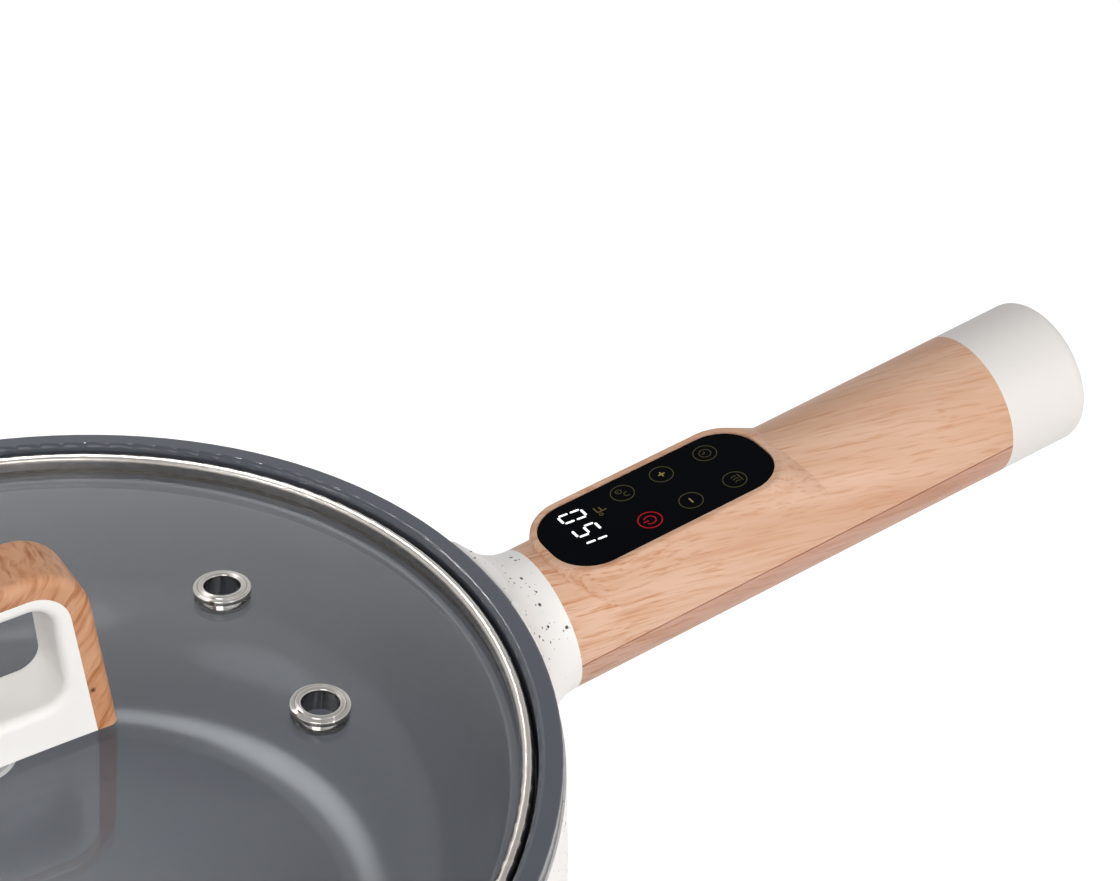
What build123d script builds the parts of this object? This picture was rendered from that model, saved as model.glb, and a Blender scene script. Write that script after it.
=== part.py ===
from build123d import *
import math
import os

# Electric skillet in millimetres: table plane at zero, pan axis upright, grip along +X.

# Cooking pan
rim_radius = 140.0
rim_round = 0.7
rim_drop = 5.0
lip_round = 1.7
pan_depth = 67.0
pan_wall = 3.2
rim_width = 6.0
lid_seat_radius = rim_radius - rim_width
lid_seat_width = 7.5
lid_seat_depth = 9.0
pan_inner_radius = lid_seat_radius - lid_seat_width
pan_corner_radius = 42.0
pan_floor_radius = pan_inner_radius - pan_corner_radius
seat_round = 0.8
boss_lip_inset = 6.3
boss_radius = 4.6
boss_length = 12.0
boss_bore_depth = 7.0
boss_count = 3
boss_first_angle = 60.0

# Outer shell
shell_step = 0.6
shell_radius = rim_radius + shell_step
shell_wall = 1.5
shell_straight = 32.0
shell_foot_angle = 66.44

# Base cover and foot ring
cover_bottom = 2.5
cover_plate = 2.6
cover_edge_height = 4.5
cover_edge_round = 3.6
cover_lip_height = 4.0
cover_lip_wall = 1.8
cover_fit = 0.2
cover_boss_radius = 5.2
screw_recess_radius = 4.0
screw_recess_depth = 2.4
foot_ring_inset = 20.6
foot_ring_width = 8.0
foot_ring_recess = 1.0
foot_ring_round = 0.8

# Heating under the pan
heat_plate_margin = 6.5
heat_plate_radius = pan_floor_radius - heat_plate_margin
heat_plate_thickness = 2.0
probe_hole_radius = 7.5
element_ring_inset = 20.0
element_ring_radius = heat_plate_radius - element_ring_inset
element_tube_radius = 3.4
element_gap_angle = 36.0
element_bend_radius = 9.0
element_overhang = 8.0
element_reach = heat_plate_radius + element_overhang
terminal_radius = 1.6
terminal_length = 9.0
reflector_clearance = 4.9
element_clearance = 4.0
reflector_thickness = 1.0
reflector_overhang = 1.0
reflector_radius = heat_plate_radius + reflector_overhang
reflector_rim_height = 4.0
reflector_bend_radius = 3.0
post_radius = 3.4
post_bore_radius = 1.6
post_count = 3
probe_radius = 6.0
probe_flange_radius = 9.0
probe_flange_thickness = 1.5
probe_length = 8.5
bracket_wall = 1.0
bracket_foot_radius = 15.0
post_circle_radius = (bracket_foot_radius + element_ring_radius) / 2
fuse_radius = 2.2
fuse_length = 11.0
fuse_lead_radius = 0.6
fuse_lead_length = 10.0

# Screws
screw_shank_radius = 1.5
screw_head_radius = 2.9
screw_head_height = 2.0
screw_clearance = 0.05
screw_tip_gap = 0.5

# Neck and its bracket
grip_tilt = 5.65
axis_drop = 41.3
neck_flare_radius = 16.0
neck_foot_radius = 30.0
neck_rim_gap = 1.5
neck_bore_radius = 13.0
neck_tube_fit = 0.1
neck_tube_wall = 2.0
neck_tube_reach = 23.2
neck_embed = 22.6
neck_root = shell_radius - neck_embed
saddle_width = 50.0
saddle_height = 26.0
saddle_round = 6.0
saddle_thickness = 2.0
saddle_screw_y = 17.5
saddle_screw_h = 7.0
saddle_screw_length = 12.0
saddle_screw_gap = 0.4
seal_inset = 3.5
seal_ring_radius = neck_bore_radius + seal_inset
seal_wire_radius = 0.9

# Grip shells, measured along the grip's own axis from the pan axis
neck_reach = 17.7
grip_start = shell_radius + neck_reach
grip_length = 149.3
grip_end = grip_start + grip_length
grip_start_radius = 21.0
grip_end_radius = 22.0
grip_wall = 2.5
grip_split_height = -2.0
grip_seam_width = 0.5
grip_seam_depth = 0.35
front_wall_thickness = 2.4
jaw_setback = 15.7
jaw_position = grip_start + jaw_setback
jaw_thickness = 3.0
jaw_top = 9.0
grip_screw_front = 29.3
grip_screw_rear = 16.6
grip_screw_positions = [grip_start + grip_screw_front, grip_end - grip_screw_rear]
grip_screw_inset = 7.8
grip_screw_y = grip_start_radius - grip_screw_inset
grip_screw_seat = -8.0
grip_screw_length = 12.0
grip_screw_recess_radius = 3.2
lower_boss_radius = 4.6
upper_boss_radius = 3.4
upper_boss_top = 11.0

# Control panel, a slab of glass in a raised pod
panel_length = 70.7
panel_width = 28.8
panel_end_flat = 4.8
panel_corner = (panel_width - panel_end_flat) / 2
panel_height = 21.7
glass_thickness = 2.0
glass_edge_round = 0.3
panel_fit = 0.1
bezel_width = 2.0
bezel_rise = 0.4
bezel_round = 0.9
pod_setback = 0.2
pod_front_ramp = 3.2
pod_rear_ramp = 30.0
pod_foot_height = 6.0
pod_foot_inset = 0.12
pod_foot_end_flat = 4.0
panel_front = grip_start + pod_setback + pod_front_ramp + bezel_width
panel_centre = panel_front + panel_length / 2
panel_rear = panel_front + panel_length
gasket_thickness = 0.5
ledge_width = 1.7
touch_board_step = 0.7
touch_board_fit = 0.15
board_thickness = 1.6
display_height = 4.0
display_inset = 12.9
display_position = panel_front + display_inset
display_across = 2.2
display_length = 9.0
display_side_inset = 4.9
display_width = panel_width - 2 * display_side_inset
display_round = 0.6
key_first_offset = -6.45
key_spacing = 13.9
key_column_count = 3
key_columns = [
    panel_centre + key_first_offset + key_spacing * column for column in range(key_column_count)
]
key_inset_right = 7.6
key_inset_left = 6.6
key_rows = [key_inset_right - panel_width / 2, panel_width / 2 - key_inset_left]
key_pad_radius = 2.8
buzzer_inset = 6.4
buzzer_position = panel_rear - buzzer_inset
buzzer_radius = 4.5
buzzer_height = 4.0

# Power board in the lower shell
power_board_height = -7.0
board_boss_gap = 1.8
board_side_gap = 2.12
power_board_start = grip_screw_positions[0] + lower_boss_radius + board_boss_gap
power_board_end = grip_screw_positions[-1] - lower_boss_radius - board_boss_gap
power_board_length = power_board_end - power_board_start
power_board_corner = 2.0
board_post_inset = 5.0
board_post_radius = 3.2
board_screw_length = 5.0
relay_size = (15.5, 19.0, 14.0)
transformer_size = (13.0, 13.0, 12.0)
capacitor_size = (5.0, 13.0, 11.0)
component_sizes = [relay_size, transformer_size, capacitor_size]
component_round = 1.0
link_setback = 14.6
link_position = power_board_start + link_setback
link_size = (2.5, 13.0)

# End cap and mains inlet
cap_length = 28.9
cap_end = grip_end + cap_length
cap_round = 3.6
cap_wall = 2.6
cap_rear_wall = 3.6
spigot_length = 8.0
spigot_fit = 0.15
inlet_flange_width = 29.0
inlet_flange_height = 21.5
inlet_flange_corner = 4.0
inlet_flange_thickness = 1.5
inlet_body_width = 27.0
inlet_body_height = 19.4
inlet_body_corner = 2.5
inlet_body_depth = 20.0
inlet_mouth_width = 24.4
inlet_mouth_height = 16.6
inlet_mouth_corner = 2.0
inlet_mouth_depth = 16.0
inlet_fit = 0.1
blade_width = 2.0
blade_height = 4.0
blade_length = 13.0
blade_tail = 6.0
blade_pitch = 7.0
blade_row_drop = 2.0

# Leads inside the shell, the neck and the grip
lead_radius = 1.6
lead_bend_radius = 5.0
lead_drop_radius = 3.0
lead_spacing = 6.5
lead_board_setback = 10.0
lead_board_position = power_board_start + lead_board_setback
lead_arc_angles = [-38.0, -14.0]
earth_lead_radius = 0.9
earth_lead_setback = 5.0
earth_lead_position = power_board_start + earth_lead_setback
inlet_lead_radius = 1.4
inlet_lead_spacing = 3.5
inlet_lead_stub = 4.0
inlet_lead_run = 12.5
inlet_lead_turn = cap_end - inlet_body_depth - blade_tail - inlet_lead_run
inlet_lead_drop_radius = 2.2
inlet_lead_board_inset = 8.0
inlet_lead_board_position = power_board_end - inlet_lead_board_inset

# Lid glass and band
dome_rise = 6.0
dome_rim_drop = 4.9
lid_glass_thickness = 3.5
lid_play = 1.0
band_outer_radius = lid_seat_radius - lid_play
band_width = 3.3
band_inner_radius = band_outer_radius - band_width
band_lip = 1.8
lid_glass_radius = band_outer_radius - band_lip
band_top_drop = 1.2
band_crown_round = 1.55
band_foot_round = 0.4

# Steam vents
vent_inset = 47.4
vent_angle = 19.6
vent_circle_radius = band_inner_radius - vent_inset
vent_radius = 4.7
vent_barrel_wall = 1.0
vent_glass_fit = 0.2
vent_ring_radius = 7.65
vent_ring_height = 1.45
vent_ring_round = 0.6
vent_groove_radius = 6.45
vent_groove_height = 1.2
vent_groove_round = 0.1
vent_groove_flank = 0.15
vent_lip_height = 1.85
vent_lip_round = 0.7
vent_foot_radius = 7.2
vent_foot_thickness = 1.0
seat_gap = 0.05

# Lid handle
frame_depth = 19.0
frame_half_width = 27.1
frame_top = 49.8
frame_corner = 9.5
strap_side = 5.7
strap_cover = 5.2
strap_half_width = frame_half_width + strap_side
strap_top = frame_top + strap_cover
strap_corner_growth = 4.5
strap_corner = frame_corner + strap_corner_growth
strap_edge_round = 2.4
handle_taper_share = 0.05
handle_foot = 4.8
frame_side = 5.8
frame_bar = 4.0
opening_half_width = frame_half_width - frame_side
opening_bottom = 17.3
opening_top = frame_top - frame_bar
opening_corner = 6.0
opening_edge_round = 2.4
insert_radius = 3.8
insert_height = 9.0
insert_tip_gap = 1.0
lid_screw_radius = 2.4
lid_screw_head_radius = 4.4
lid_screw_head_height = 2.4
lid_hole_radius = 4.0
soft_washer_radius = 9.0
soft_washer_thickness = 1.5
cup_washer_radius = 7.6
cup_washer_thickness = 1.2

# One overrun serves every cut
overrun = 5.0

# Levels and radii worked out from the sizes above
cover_top = cover_bottom + cover_plate
shell_foot_height = cover_bottom + cover_edge_height
reflector_height = cover_top + reflector_clearance
reflector_top = reflector_height + reflector_thickness
element_height = reflector_top + element_clearance + element_tube_radius
plate_underside = element_height + element_tube_radius
floor_underside = plate_underside + heat_plate_thickness
floor_height = floor_underside + pan_wall
rim_height = floor_height + pan_depth
boss_foot_height = floor_height - boss_length
seat_height = rim_height - lid_seat_depth
shell_top = rim_height - rim_drop
shell_bend_height = rim_height - shell_straight
shell_corner_radius = (shell_bend_height - shell_foot_height) / math.sin(math.radians(shell_foot_angle))
shell_bend_radius = shell_radius - shell_corner_radius
axis_height = rim_height - axis_drop
neck_tube_radius = neck_bore_radius - neck_tube_fit
neck_tube_inner = neck_tube_radius - neck_tube_wall
neck_tube_end = grip_start + neck_tube_reach
panel_underside = panel_height - glass_thickness
pod_top = panel_height + bezel_rise
ledge_height = panel_underside - gasket_thickness
touch_board_top = panel_underside - display_height
touch_board_underside = touch_board_top - board_thickness
power_board_top = power_board_height + board_thickness
power_board_centre = (power_board_start + power_board_end) / 2
power_board_reach = math.sqrt((grip_start_radius - grip_wall) ** 2 - power_board_height**2)
power_board_width = 2 * (power_board_reach - board_side_gap)
pod_foot_width = 2 * (math.sqrt(grip_start_radius**2 - pod_foot_height**2) - pod_foot_inset)
dome_sag = dome_rise + dome_rim_drop
dome_radius = (band_inner_radius**2 + dome_sag**2) / (2 * dome_sag)
dome_crown = rim_height + dome_rise
dome_centre = dome_crown - dome_radius
glass_underside = dome_crown - lid_glass_thickness
washer_edge = dome_centre + math.sqrt((dome_radius - lid_glass_thickness) ** 2 - soft_washer_radius**2)
cup_washer_top = washer_edge - seat_gap - soft_washer_thickness
lid_screw_seat = cup_washer_top - cup_washer_thickness

# The grip's own directions, tilted up from the table
tilt = math.radians(grip_tilt)
grip_direction = Vector(math.cos(tilt), 0, math.sin(tilt))
grip_up = Vector(-math.sin(tilt), 0, math.cos(tilt))
grip_root = Vector(0, 0, axis_height)
grip_axis = Axis(grip_root, grip_direction)
grip_side = Plane(origin=grip_root, x_dir=grip_direction, z_dir=(0, -1, 0))


def grip_section(along):
    """Plane across the grip, with local x along +Y and local y up."""
    return Plane(origin=grip_root + grip_direction * along, x_dir=(0, 1, 0), z_dir=grip_direction)


def grip_deck(height):
    """Plane along the grip at a height over its axis, with local x along the grip."""
    return Plane(origin=grip_root + grip_up * height, x_dir=grip_direction, z_dir=grip_up)


def grip_point(along, across, height):
    """Point in the grip's own directions."""
    return grip_root + grip_direction * along + Vector(0, across, 0) + grip_up * height


def grip_radius(along):
    """Outer radius of the slightly tapered grip."""
    share = (along - grip_start) / (grip_end - grip_start)
    return grip_start_radius + share * (grip_end_radius - grip_start_radius)


def grip_outline(start, end, inset):
    """Half section of the tapered grip body between two stations, to be revolved."""
    with BuildSketch() as outline:
        with BuildLine():
            Polyline(
                (start, 0),
                (end, 0),
                (end, grip_radius(end) - inset),
                (start, grip_radius(start) - inset),
                close=True,
            )
        make_face()
    return outline.sketch


def shell_base_reach(inset):
    """Radius at which a face inset from the shell's outside reaches the shell's foot."""
    corner = shell_corner_radius - inset
    drop = shell_bend_height - shell_foot_height
    return shell_bend_radius + math.sqrt(corner**2 - drop**2)


def shell_outline(inset, top):
    """Half section of all that lies inside a face inset from the shell's outside."""
    bend = (shell_radius - inset, shell_bend_height)
    foot = (shell_base_reach(inset), shell_foot_height)
    with BuildSketch() as outline:
        with BuildLine():
            Polyline(foot, (0, shell_foot_height), (0, top), (shell_radius - inset, top), bend)
            TangentArc(bend, foot, tangent=(0, -1))
        make_face()
    return outline.sketch


def shell_core(inset, top):
    """Solid of all that lies inside a face inset from the shell's outside."""
    with BuildPart() as core:
        with BuildSketch(Plane.XZ):
            add(shell_outline(inset, top))
        revolve(axis=Axis.Z)
    return core.part


def dome_height(radius, depth):
    """Height of a face that lies a depth under the lid glass's upper face."""
    return dome_centre + math.sqrt((dome_radius - depth) ** 2 - radius**2)


def dome_outline(depth, edge_radius, floor):
    """Half section of all that lies between a level and a face under the dome."""
    crown = (0, dome_crown - depth)
    edge = (edge_radius, dome_height(edge_radius, depth))
    with BuildSketch() as outline:
        with BuildLine():
            TangentArc(crown, edge, tangent=(1, 0))
            Polyline(edge, (edge_radius, floor), (0, floor), crown)
        make_face()
    return outline.sketch


def tapered_bridge(half_width, top, corner, bottom):
    """Outline of a bridge with leaning legs and round shoulders, down to a level."""
    lean = handle_taper_share * (top - bottom)
    with BuildSketch() as outline:
        with BuildLine():
            FilletPolyline(
                (-half_width, rim_height + bottom),
                (lean - half_width, rim_height + top),
                (half_width - lean, rim_height + top),
                (half_width, rim_height + bottom),
                radius=[0, corner, corner, 0],
                close=True,
            )
        make_face()
    return outline.sketch


def finish(shape, name):
    """Label one piece and write its file."""
    shape.part.label = name
    export_step(shape.part, f"parts/{name}.step")


os.makedirs("parts", exist_ok=True)

# Radii under the pan, which follow the shell's foot
cover_radius = shell_base_reach(0)
cover_lip_radius = shell_base_reach(shell_wall) - cover_fit
boss_circle_radius = cover_lip_radius - boss_lip_inset
foot_ring_radius = cover_radius - foot_ring_inset

# Cooking pan: flat rim, sunk lid seat, tall wall and a large corner to the floor
with BuildPart() as cooking_pan:
    with BuildSketch(Plane.XZ):
        with BuildLine():
            FilletPolyline(
                (0, floor_height),
                (pan_inner_radius, floor_height),
                (pan_inner_radius, seat_height),
                (lid_seat_radius, seat_height),
                (lid_seat_radius, rim_height),
                (rim_radius, rim_height),
                (rim_radius, shell_top),
                (lid_seat_radius + pan_wall, shell_top),
                (lid_seat_radius + pan_wall, seat_height - pan_wall),
                (pan_inner_radius + pan_wall, seat_height - pan_wall),
                (pan_inner_radius + pan_wall, floor_underside),
                (0, floor_underside),
                radius=[
                    0,
                    pan_corner_radius,
                    seat_round,
                    seat_round,
                    lip_round,
                    rim_round,
                    0,
                    0,
                    seat_round,
                    seat_round,
                    pan_corner_radius + pan_wall,
                    0,
                ],
                close=True,
            )
        make_face()
    revolve(axis=Axis.Z)
    with BuildSketch(Plane.XY.offset(boss_foot_height)):
        with PolarLocations(boss_circle_radius, boss_count, boss_first_angle):
            Circle(boss_radius)
    extrude(amount=floor_height + pan_wall - boss_foot_height)
    with BuildSketch(Plane.XZ):
        with BuildLine():
            FilletPolyline(
                (0, floor_height),
                (pan_inner_radius, floor_height),
                (pan_inner_radius, seat_height - seat_round),
                (0, seat_height - seat_round),
                radius=[0, pan_corner_radius, 0, 0],
                close=True,
            )
        make_face()
    revolve(axis=Axis.Z, mode=Mode.SUBTRACT)
    with BuildSketch(Plane.XY.offset(boss_foot_height)):
        with PolarLocations(boss_circle_radius, boss_count, boss_first_angle):
            Circle(screw_shank_radius + screw_clearance)
    extrude(amount=boss_bore_depth, mode=Mode.SUBTRACT)
finish(cooking_pan, "cooking_pan")

# Outer shell: straight band under the rim, then one large bend in to the foot
with BuildPart() as outer_shell:
    with BuildSketch(Plane.XZ):
        add(shell_outline(0, shell_top))
    revolve(axis=Axis.Z)
    add(shell_core(shell_wall, shell_top), mode=Mode.SUBTRACT)
    with BuildSketch(grip_section(neck_root)):
        Circle(neck_bore_radius)
        with GridLocations(2 * saddle_screw_y, 2 * saddle_screw_h, 2, 2):
            Circle(screw_shank_radius + screw_clearance)
    extrude(amount=grip_start - neck_root, mode=Mode.SUBTRACT)
finish(outer_shell, "outer_shell")

# Base cover: flat plate with a rounded edge, a locating lip and bosses for the screws
with BuildPart() as base_cover:
    with BuildSketch(Plane.XZ):
        with BuildLine():
            FilletPolyline(
                (0, cover_bottom),
                (cover_radius, cover_bottom),
                (cover_radius, shell_foot_height),
                (cover_lip_radius, shell_foot_height),
                (cover_lip_radius, shell_foot_height + cover_lip_height),
                (cover_lip_radius - cover_lip_wall, shell_foot_height + cover_lip_height),
                (cover_lip_radius - cover_lip_wall, cover_top),
                (0, cover_top),
                radius=[0, cover_edge_round, 0, 0, 0, 0, 0, 0],
                close=True,
            )
        make_face()
    revolve(axis=Axis.Z)
    with BuildSketch(Plane.XY.offset(cover_bottom)):
        with PolarLocations(boss_circle_radius, boss_count, boss_first_angle):
            Circle(cover_boss_radius)
    extrude(amount=boss_foot_height - cover_bottom)
    with Locations(Plane.XY.offset(cover_bottom)):
        with PolarLocations(boss_circle_radius, boss_count, boss_first_angle):
            Cylinder(
                screw_recess_radius,
                screw_recess_depth,
                align=(Align.CENTER, Align.CENTER, Align.MIN),
                mode=Mode.SUBTRACT,
            )
            Cylinder(
                screw_shank_radius + screw_clearance,
                boss_foot_height,
                align=(Align.CENTER, Align.CENTER, Align.MIN),
                mode=Mode.SUBTRACT,
            )
    with BuildSketch(Plane.XY.offset(cover_bottom)):
        Circle(foot_ring_radius + foot_ring_width / 2)
        Circle(foot_ring_radius - foot_ring_width / 2, mode=Mode.SUBTRACT)
    extrude(amount=foot_ring_recess, mode=Mode.SUBTRACT)
finish(base_cover, "base_cover")

# Foot ring that the skillet stands on
foot_inner = foot_ring_radius - foot_ring_width / 2
foot_outer = foot_ring_radius + foot_ring_width / 2
foot_top = cover_bottom + foot_ring_recess
with BuildPart() as foot_ring:
    with BuildSketch(Plane.XZ):
        with BuildLine():
            FilletPolyline(
                (foot_inner, 0),
                (foot_outer, 0),
                (foot_outer, foot_top),
                (foot_inner, foot_top),
                radius=[foot_ring_round, foot_ring_round, 0, 0],
                close=True,
            )
        make_face()
    revolve(axis=Axis.Z)
finish(foot_ring, "foot_ring")

# Base screws, up through the cover into the pan's bosses
base_screw_seat = cover_bottom + screw_recess_depth
base_screw_length = boss_foot_height + boss_bore_depth - screw_tip_gap - base_screw_seat
with BuildPart() as base_screws:
    with BuildSketch(Plane.XY.offset(base_screw_seat)):
        with PolarLocations(boss_circle_radius, boss_count, boss_first_angle):
            Circle(screw_head_radius)
    extrude(amount=-screw_head_height)
    with BuildSketch(Plane.XY.offset(base_screw_seat)):
        with PolarLocations(boss_circle_radius, boss_count, boss_first_angle):
            Circle(screw_shank_radius)
    extrude(amount=base_screw_length)
finish(base_screws, "base_screws")

# Heat plate against the pan's floor
with BuildPart() as heat_plate:
    with BuildSketch(Plane.XY.offset(plate_underside)):
        Circle(heat_plate_radius)
        Circle(probe_hole_radius, mode=Mode.SUBTRACT)
    extrude(amount=heat_plate_thickness)
finish(heat_plate, "heat_plate")

# Heating element: an open ring of sheathed tube whose ends turn out to two terminals
half_gap = math.radians(element_gap_angle / 2)
gap_x = element_ring_radius * math.cos(half_gap)
gap_y = element_ring_radius * math.sin(half_gap)
elbow_x = gap_x + element_bend_radius * math.cos(half_gap)
elbow_y = gap_y - element_bend_radius * (1 - math.sin(half_gap))
elbow_turn = 90 - element_gap_angle / 2
with BuildPart() as heating_element:
    with BuildLine(Plane.XY.offset(element_height)) as element_path:
        Line((element_reach, elbow_y), (elbow_x, elbow_y))
        JernArc((elbow_x, elbow_y), (-1, 0), element_bend_radius, -elbow_turn)
        CenterArc((0, 0), element_ring_radius, element_gap_angle / 2, 360 - element_gap_angle)
        JernArc((elbow_x, -elbow_y), (-1, 0), element_bend_radius, elbow_turn)
        Line((elbow_x, -elbow_y), (element_reach, -elbow_y))
    element_wire = element_path.wires()[0]
    with BuildSketch(Plane(origin=element_wire @ 0, z_dir=element_wire % 0)):
        Circle(element_tube_radius)
    sweep(path=element_wire)
    with BuildSketch(Plane(origin=(element_reach, 0, element_height), z_dir=(1, 0, 0))):
        with Locations((0, elbow_y), (0, -elbow_y)):
            Circle(terminal_radius)
    extrude(amount=terminal_length)
finish(heating_element, "heating_element")

# Heat reflector: a flat steel dish with an upturned rim
with BuildPart() as heat_reflector:
    with BuildSketch(Plane.XZ):
        with BuildLine():
            FilletPolyline(
                (probe_flange_radius, reflector_height),
                (reflector_radius, reflector_height),
                (reflector_radius, reflector_height + reflector_rim_height),
                (reflector_radius - reflector_thickness, reflector_height + reflector_rim_height),
                (reflector_radius - reflector_thickness, reflector_top),
                (probe_flange_radius, reflector_top),
                radius=[
                    0,
                    reflector_bend_radius,
                    0,
                    0,
                    reflector_bend_radius - reflector_thickness,
                    0,
                ],
                close=True,
            )
        make_face()
    revolve(axis=Axis.Z)
    with BuildSketch(Plane.XY.offset(reflector_height)):
        with PolarLocations(post_circle_radius, post_count):
            Circle(post_bore_radius)
    extrude(amount=reflector_thickness, mode=Mode.SUBTRACT)
finish(heat_reflector, "heat_reflector")

# Posts that hang the reflector under the heat plate
with BuildPart() as reflector_posts:
    with BuildSketch(Plane.XY.offset(reflector_top)):
        with PolarLocations(post_circle_radius, post_count):
            Circle(post_radius)
    extrude(amount=plate_underside - reflector_top)
    with BuildSketch(Plane.XY.offset(reflector_height)):
        with PolarLocations(post_circle_radius, post_count):
            Circle(post_bore_radius - screw_clearance)
    extrude(amount=reflector_thickness)
    with BuildSketch(Plane.XY.offset(reflector_height)):
        with PolarLocations(post_circle_radius, post_count):
            Circle(post_radius)
    extrude(amount=-reflector_thickness)
finish(reflector_posts, "reflector_posts")

# Temperature probe, pressed up against the pan's floor
probe_flange_height = floor_underside - probe_length
with BuildPart() as temperature_probe:
    with BuildSketch(Plane.XY.offset(probe_flange_height)):
        Circle(probe_flange_radius)
    extrude(amount=probe_flange_thickness)
    with BuildSketch(Plane.XY.offset(probe_flange_height)):
        Circle(probe_radius)
    extrude(amount=probe_length)
finish(temperature_probe, "temperature_probe")

# Probe bracket: a flanged cup on the reflector that carries the probe
with BuildPart() as probe_bracket:
    with BuildSketch(Plane.XZ):
        with BuildLine():
            Polyline(
                (probe_radius, probe_flange_height),
                (probe_radius, probe_flange_height - bracket_wall),
                (probe_flange_radius, probe_flange_height - bracket_wall),
                (probe_flange_radius, reflector_top),
                (bracket_foot_radius, reflector_top),
                (bracket_foot_radius, reflector_top + bracket_wall),
                (probe_flange_radius + bracket_wall, reflector_top + bracket_wall),
                (probe_flange_radius + bracket_wall, probe_flange_height),
                close=True,
            )
        make_face()
    revolve(axis=Axis.Z)
finish(probe_bracket, "probe_bracket")

# Thermal fuse lying against the heat plate, with its two leads
fuse_height = plate_underside - fuse_radius
fuse_end = Plane(origin=(-post_circle_radius, 0, fuse_height), z_dir=(0, 1, 0))
with BuildPart() as thermal_fuse:
    with BuildSketch(fuse_end):
        Circle(fuse_radius)
    extrude(amount=fuse_length / 2, both=True)
    with BuildSketch(fuse_end):
        Circle(fuse_lead_radius)
    extrude(amount=fuse_length / 2 + fuse_lead_length, both=True)
finish(thermal_fuse, "thermal_fuse")

# Neck collar: round neck that flares into the shell and follows its curve
flare_centre = grip_start_radius + neck_flare_radius
flare_run = math.sqrt(neck_flare_radius**2 - (flare_centre - neck_foot_radius) ** 2)
with BuildPart() as neck_collar:
    with BuildSketch(grip_side):
        with BuildLine():
            Polyline(
                (grip_start, grip_start_radius),
                (grip_start, 0),
                (neck_root, 0),
                (neck_root, neck_foot_radius),
                (grip_start - flare_run, neck_foot_radius),
            )
            TangentArc(
                (grip_start, grip_start_radius),
                (grip_start - flare_run, neck_foot_radius),
                tangent=(-1, 0),
            )
        make_face()
    revolve(axis=grip_axis)
    with BuildSketch(Plane.XY.offset(rim_height - neck_rim_gap)):
        Circle(neck_root + grip_start)
    extrude(amount=neck_foot_radius, mode=Mode.SUBTRACT)
    add(shell_core(0, rim_height), mode=Mode.SUBTRACT)
    with BuildSketch(grip_section(neck_root)):
        Circle(neck_bore_radius)
    extrude(amount=grip_start - neck_root, mode=Mode.SUBTRACT)
    with BuildSketch(grip_section(neck_root)):
        with GridLocations(2 * saddle_screw_y, 2 * saddle_screw_h, 2, 2):
            Circle(screw_shank_radius + screw_clearance)
    extrude(amount=grip_start - neck_root - front_wall_thickness, mode=Mode.SUBTRACT)
    with BuildSketch(grip_side):
        with Locations((grip_start - seal_wire_radius, seal_ring_radius)):
            Rectangle(2 * seal_wire_radius, 2 * seal_wire_radius)
    revolve(axis=grip_axis, mode=Mode.SUBTRACT)
finish(neck_collar, "neck_collar")

# Neck seal between collar and grip
with BuildPart() as neck_seal:
    with BuildSketch(grip_side):
        with Locations((grip_start - seal_wire_radius, seal_ring_radius)):
            Circle(seal_wire_radius)
    revolve(axis=grip_axis)
finish(neck_seal, "neck_seal")

# Handle bracket: a saddle inside the shell with a tube out through the neck
with BuildPart() as handle_bracket:
    with BuildSketch(grip_section(neck_root)):
        RectangleRounded(saddle_width, saddle_height, saddle_round)
    extrude(amount=grip_start - neck_root)
    add(shell_core(shell_wall, rim_height), mode=Mode.INTERSECT)
    with BuildSketch(grip_section(neck_root)):
        Circle(neck_tube_radius)
    extrude(amount=neck_tube_end - neck_root)
    with BuildSketch(grip_section(neck_root)):
        Circle(neck_tube_inner)
        with GridLocations(2 * saddle_screw_y, 2 * saddle_screw_h, 2, 2):
            Circle(screw_shank_radius + screw_clearance)
    extrude(amount=neck_tube_end - neck_root, mode=Mode.SUBTRACT)
    add(shell_core(shell_wall + saddle_thickness, rim_height), mode=Mode.SUBTRACT)
finish(handle_bracket, "handle_bracket")

# Bracket screws, from inside the saddle out into the collar
saddle_inner = shell_radius - shell_wall - saddle_thickness
saddle_reach = math.sqrt(saddle_inner**2 - (saddle_screw_y + screw_head_radius) ** 2)
saddle_lean = (saddle_screw_h + screw_head_radius) * math.sin(tilt)
saddle_screw_seat = (saddle_reach - saddle_lean) / math.cos(tilt) - saddle_screw_gap
with BuildPart() as bracket_screws:
    with BuildSketch(grip_section(saddle_screw_seat)):
        with GridLocations(2 * saddle_screw_y, 2 * saddle_screw_h, 2, 2):
            Circle(screw_head_radius)
    extrude(amount=-screw_head_height)
    with BuildSketch(grip_section(saddle_screw_seat)):
        with GridLocations(2 * saddle_screw_y, 2 * saddle_screw_h, 2, 2):
            Circle(screw_shank_radius)
    extrude(amount=saddle_screw_length)
finish(bracket_screws, "bracket_screws")


def round_lead(points, bends, radius):
    """One round lead along straight runs and tangent bends."""
    with BuildPart() as lead:
        with BuildLine() as route:
            FilletPolyline(*points, radius=bends)
        lead_wire = route.wires()[0]
        with BuildSketch(Plane(origin=lead_wire @ 0, z_dir=lead_wire % 0)):
            Circle(radius)
        sweep(path=lead_wire)
    return lead.part


# Leads from the element's terminals, up between pan and shell and out through the neck
gap_centre = (pan_inner_radius - pan_corner_radius + shell_bend_radius) / 2
gap_level = (floor_height + pan_corner_radius + shell_bend_height) / 2
gap_radius = (pan_corner_radius + pan_wall + shell_corner_radius - shell_wall) / 2
neck_station = (gap_centre + gap_radius) / math.cos(tilt)


def gap_route(level):
    """Places up the gap between pan and shell for a lead that starts at a level."""
    angles = [math.asin((level - gap_level) / gap_radius)]
    angles += [math.radians(angle) for angle in lead_arc_angles]
    return [
        (gap_centre + gap_radius * math.cos(angle), gap_level + gap_radius * math.sin(angle))
        for angle in angles
    ]


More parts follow.
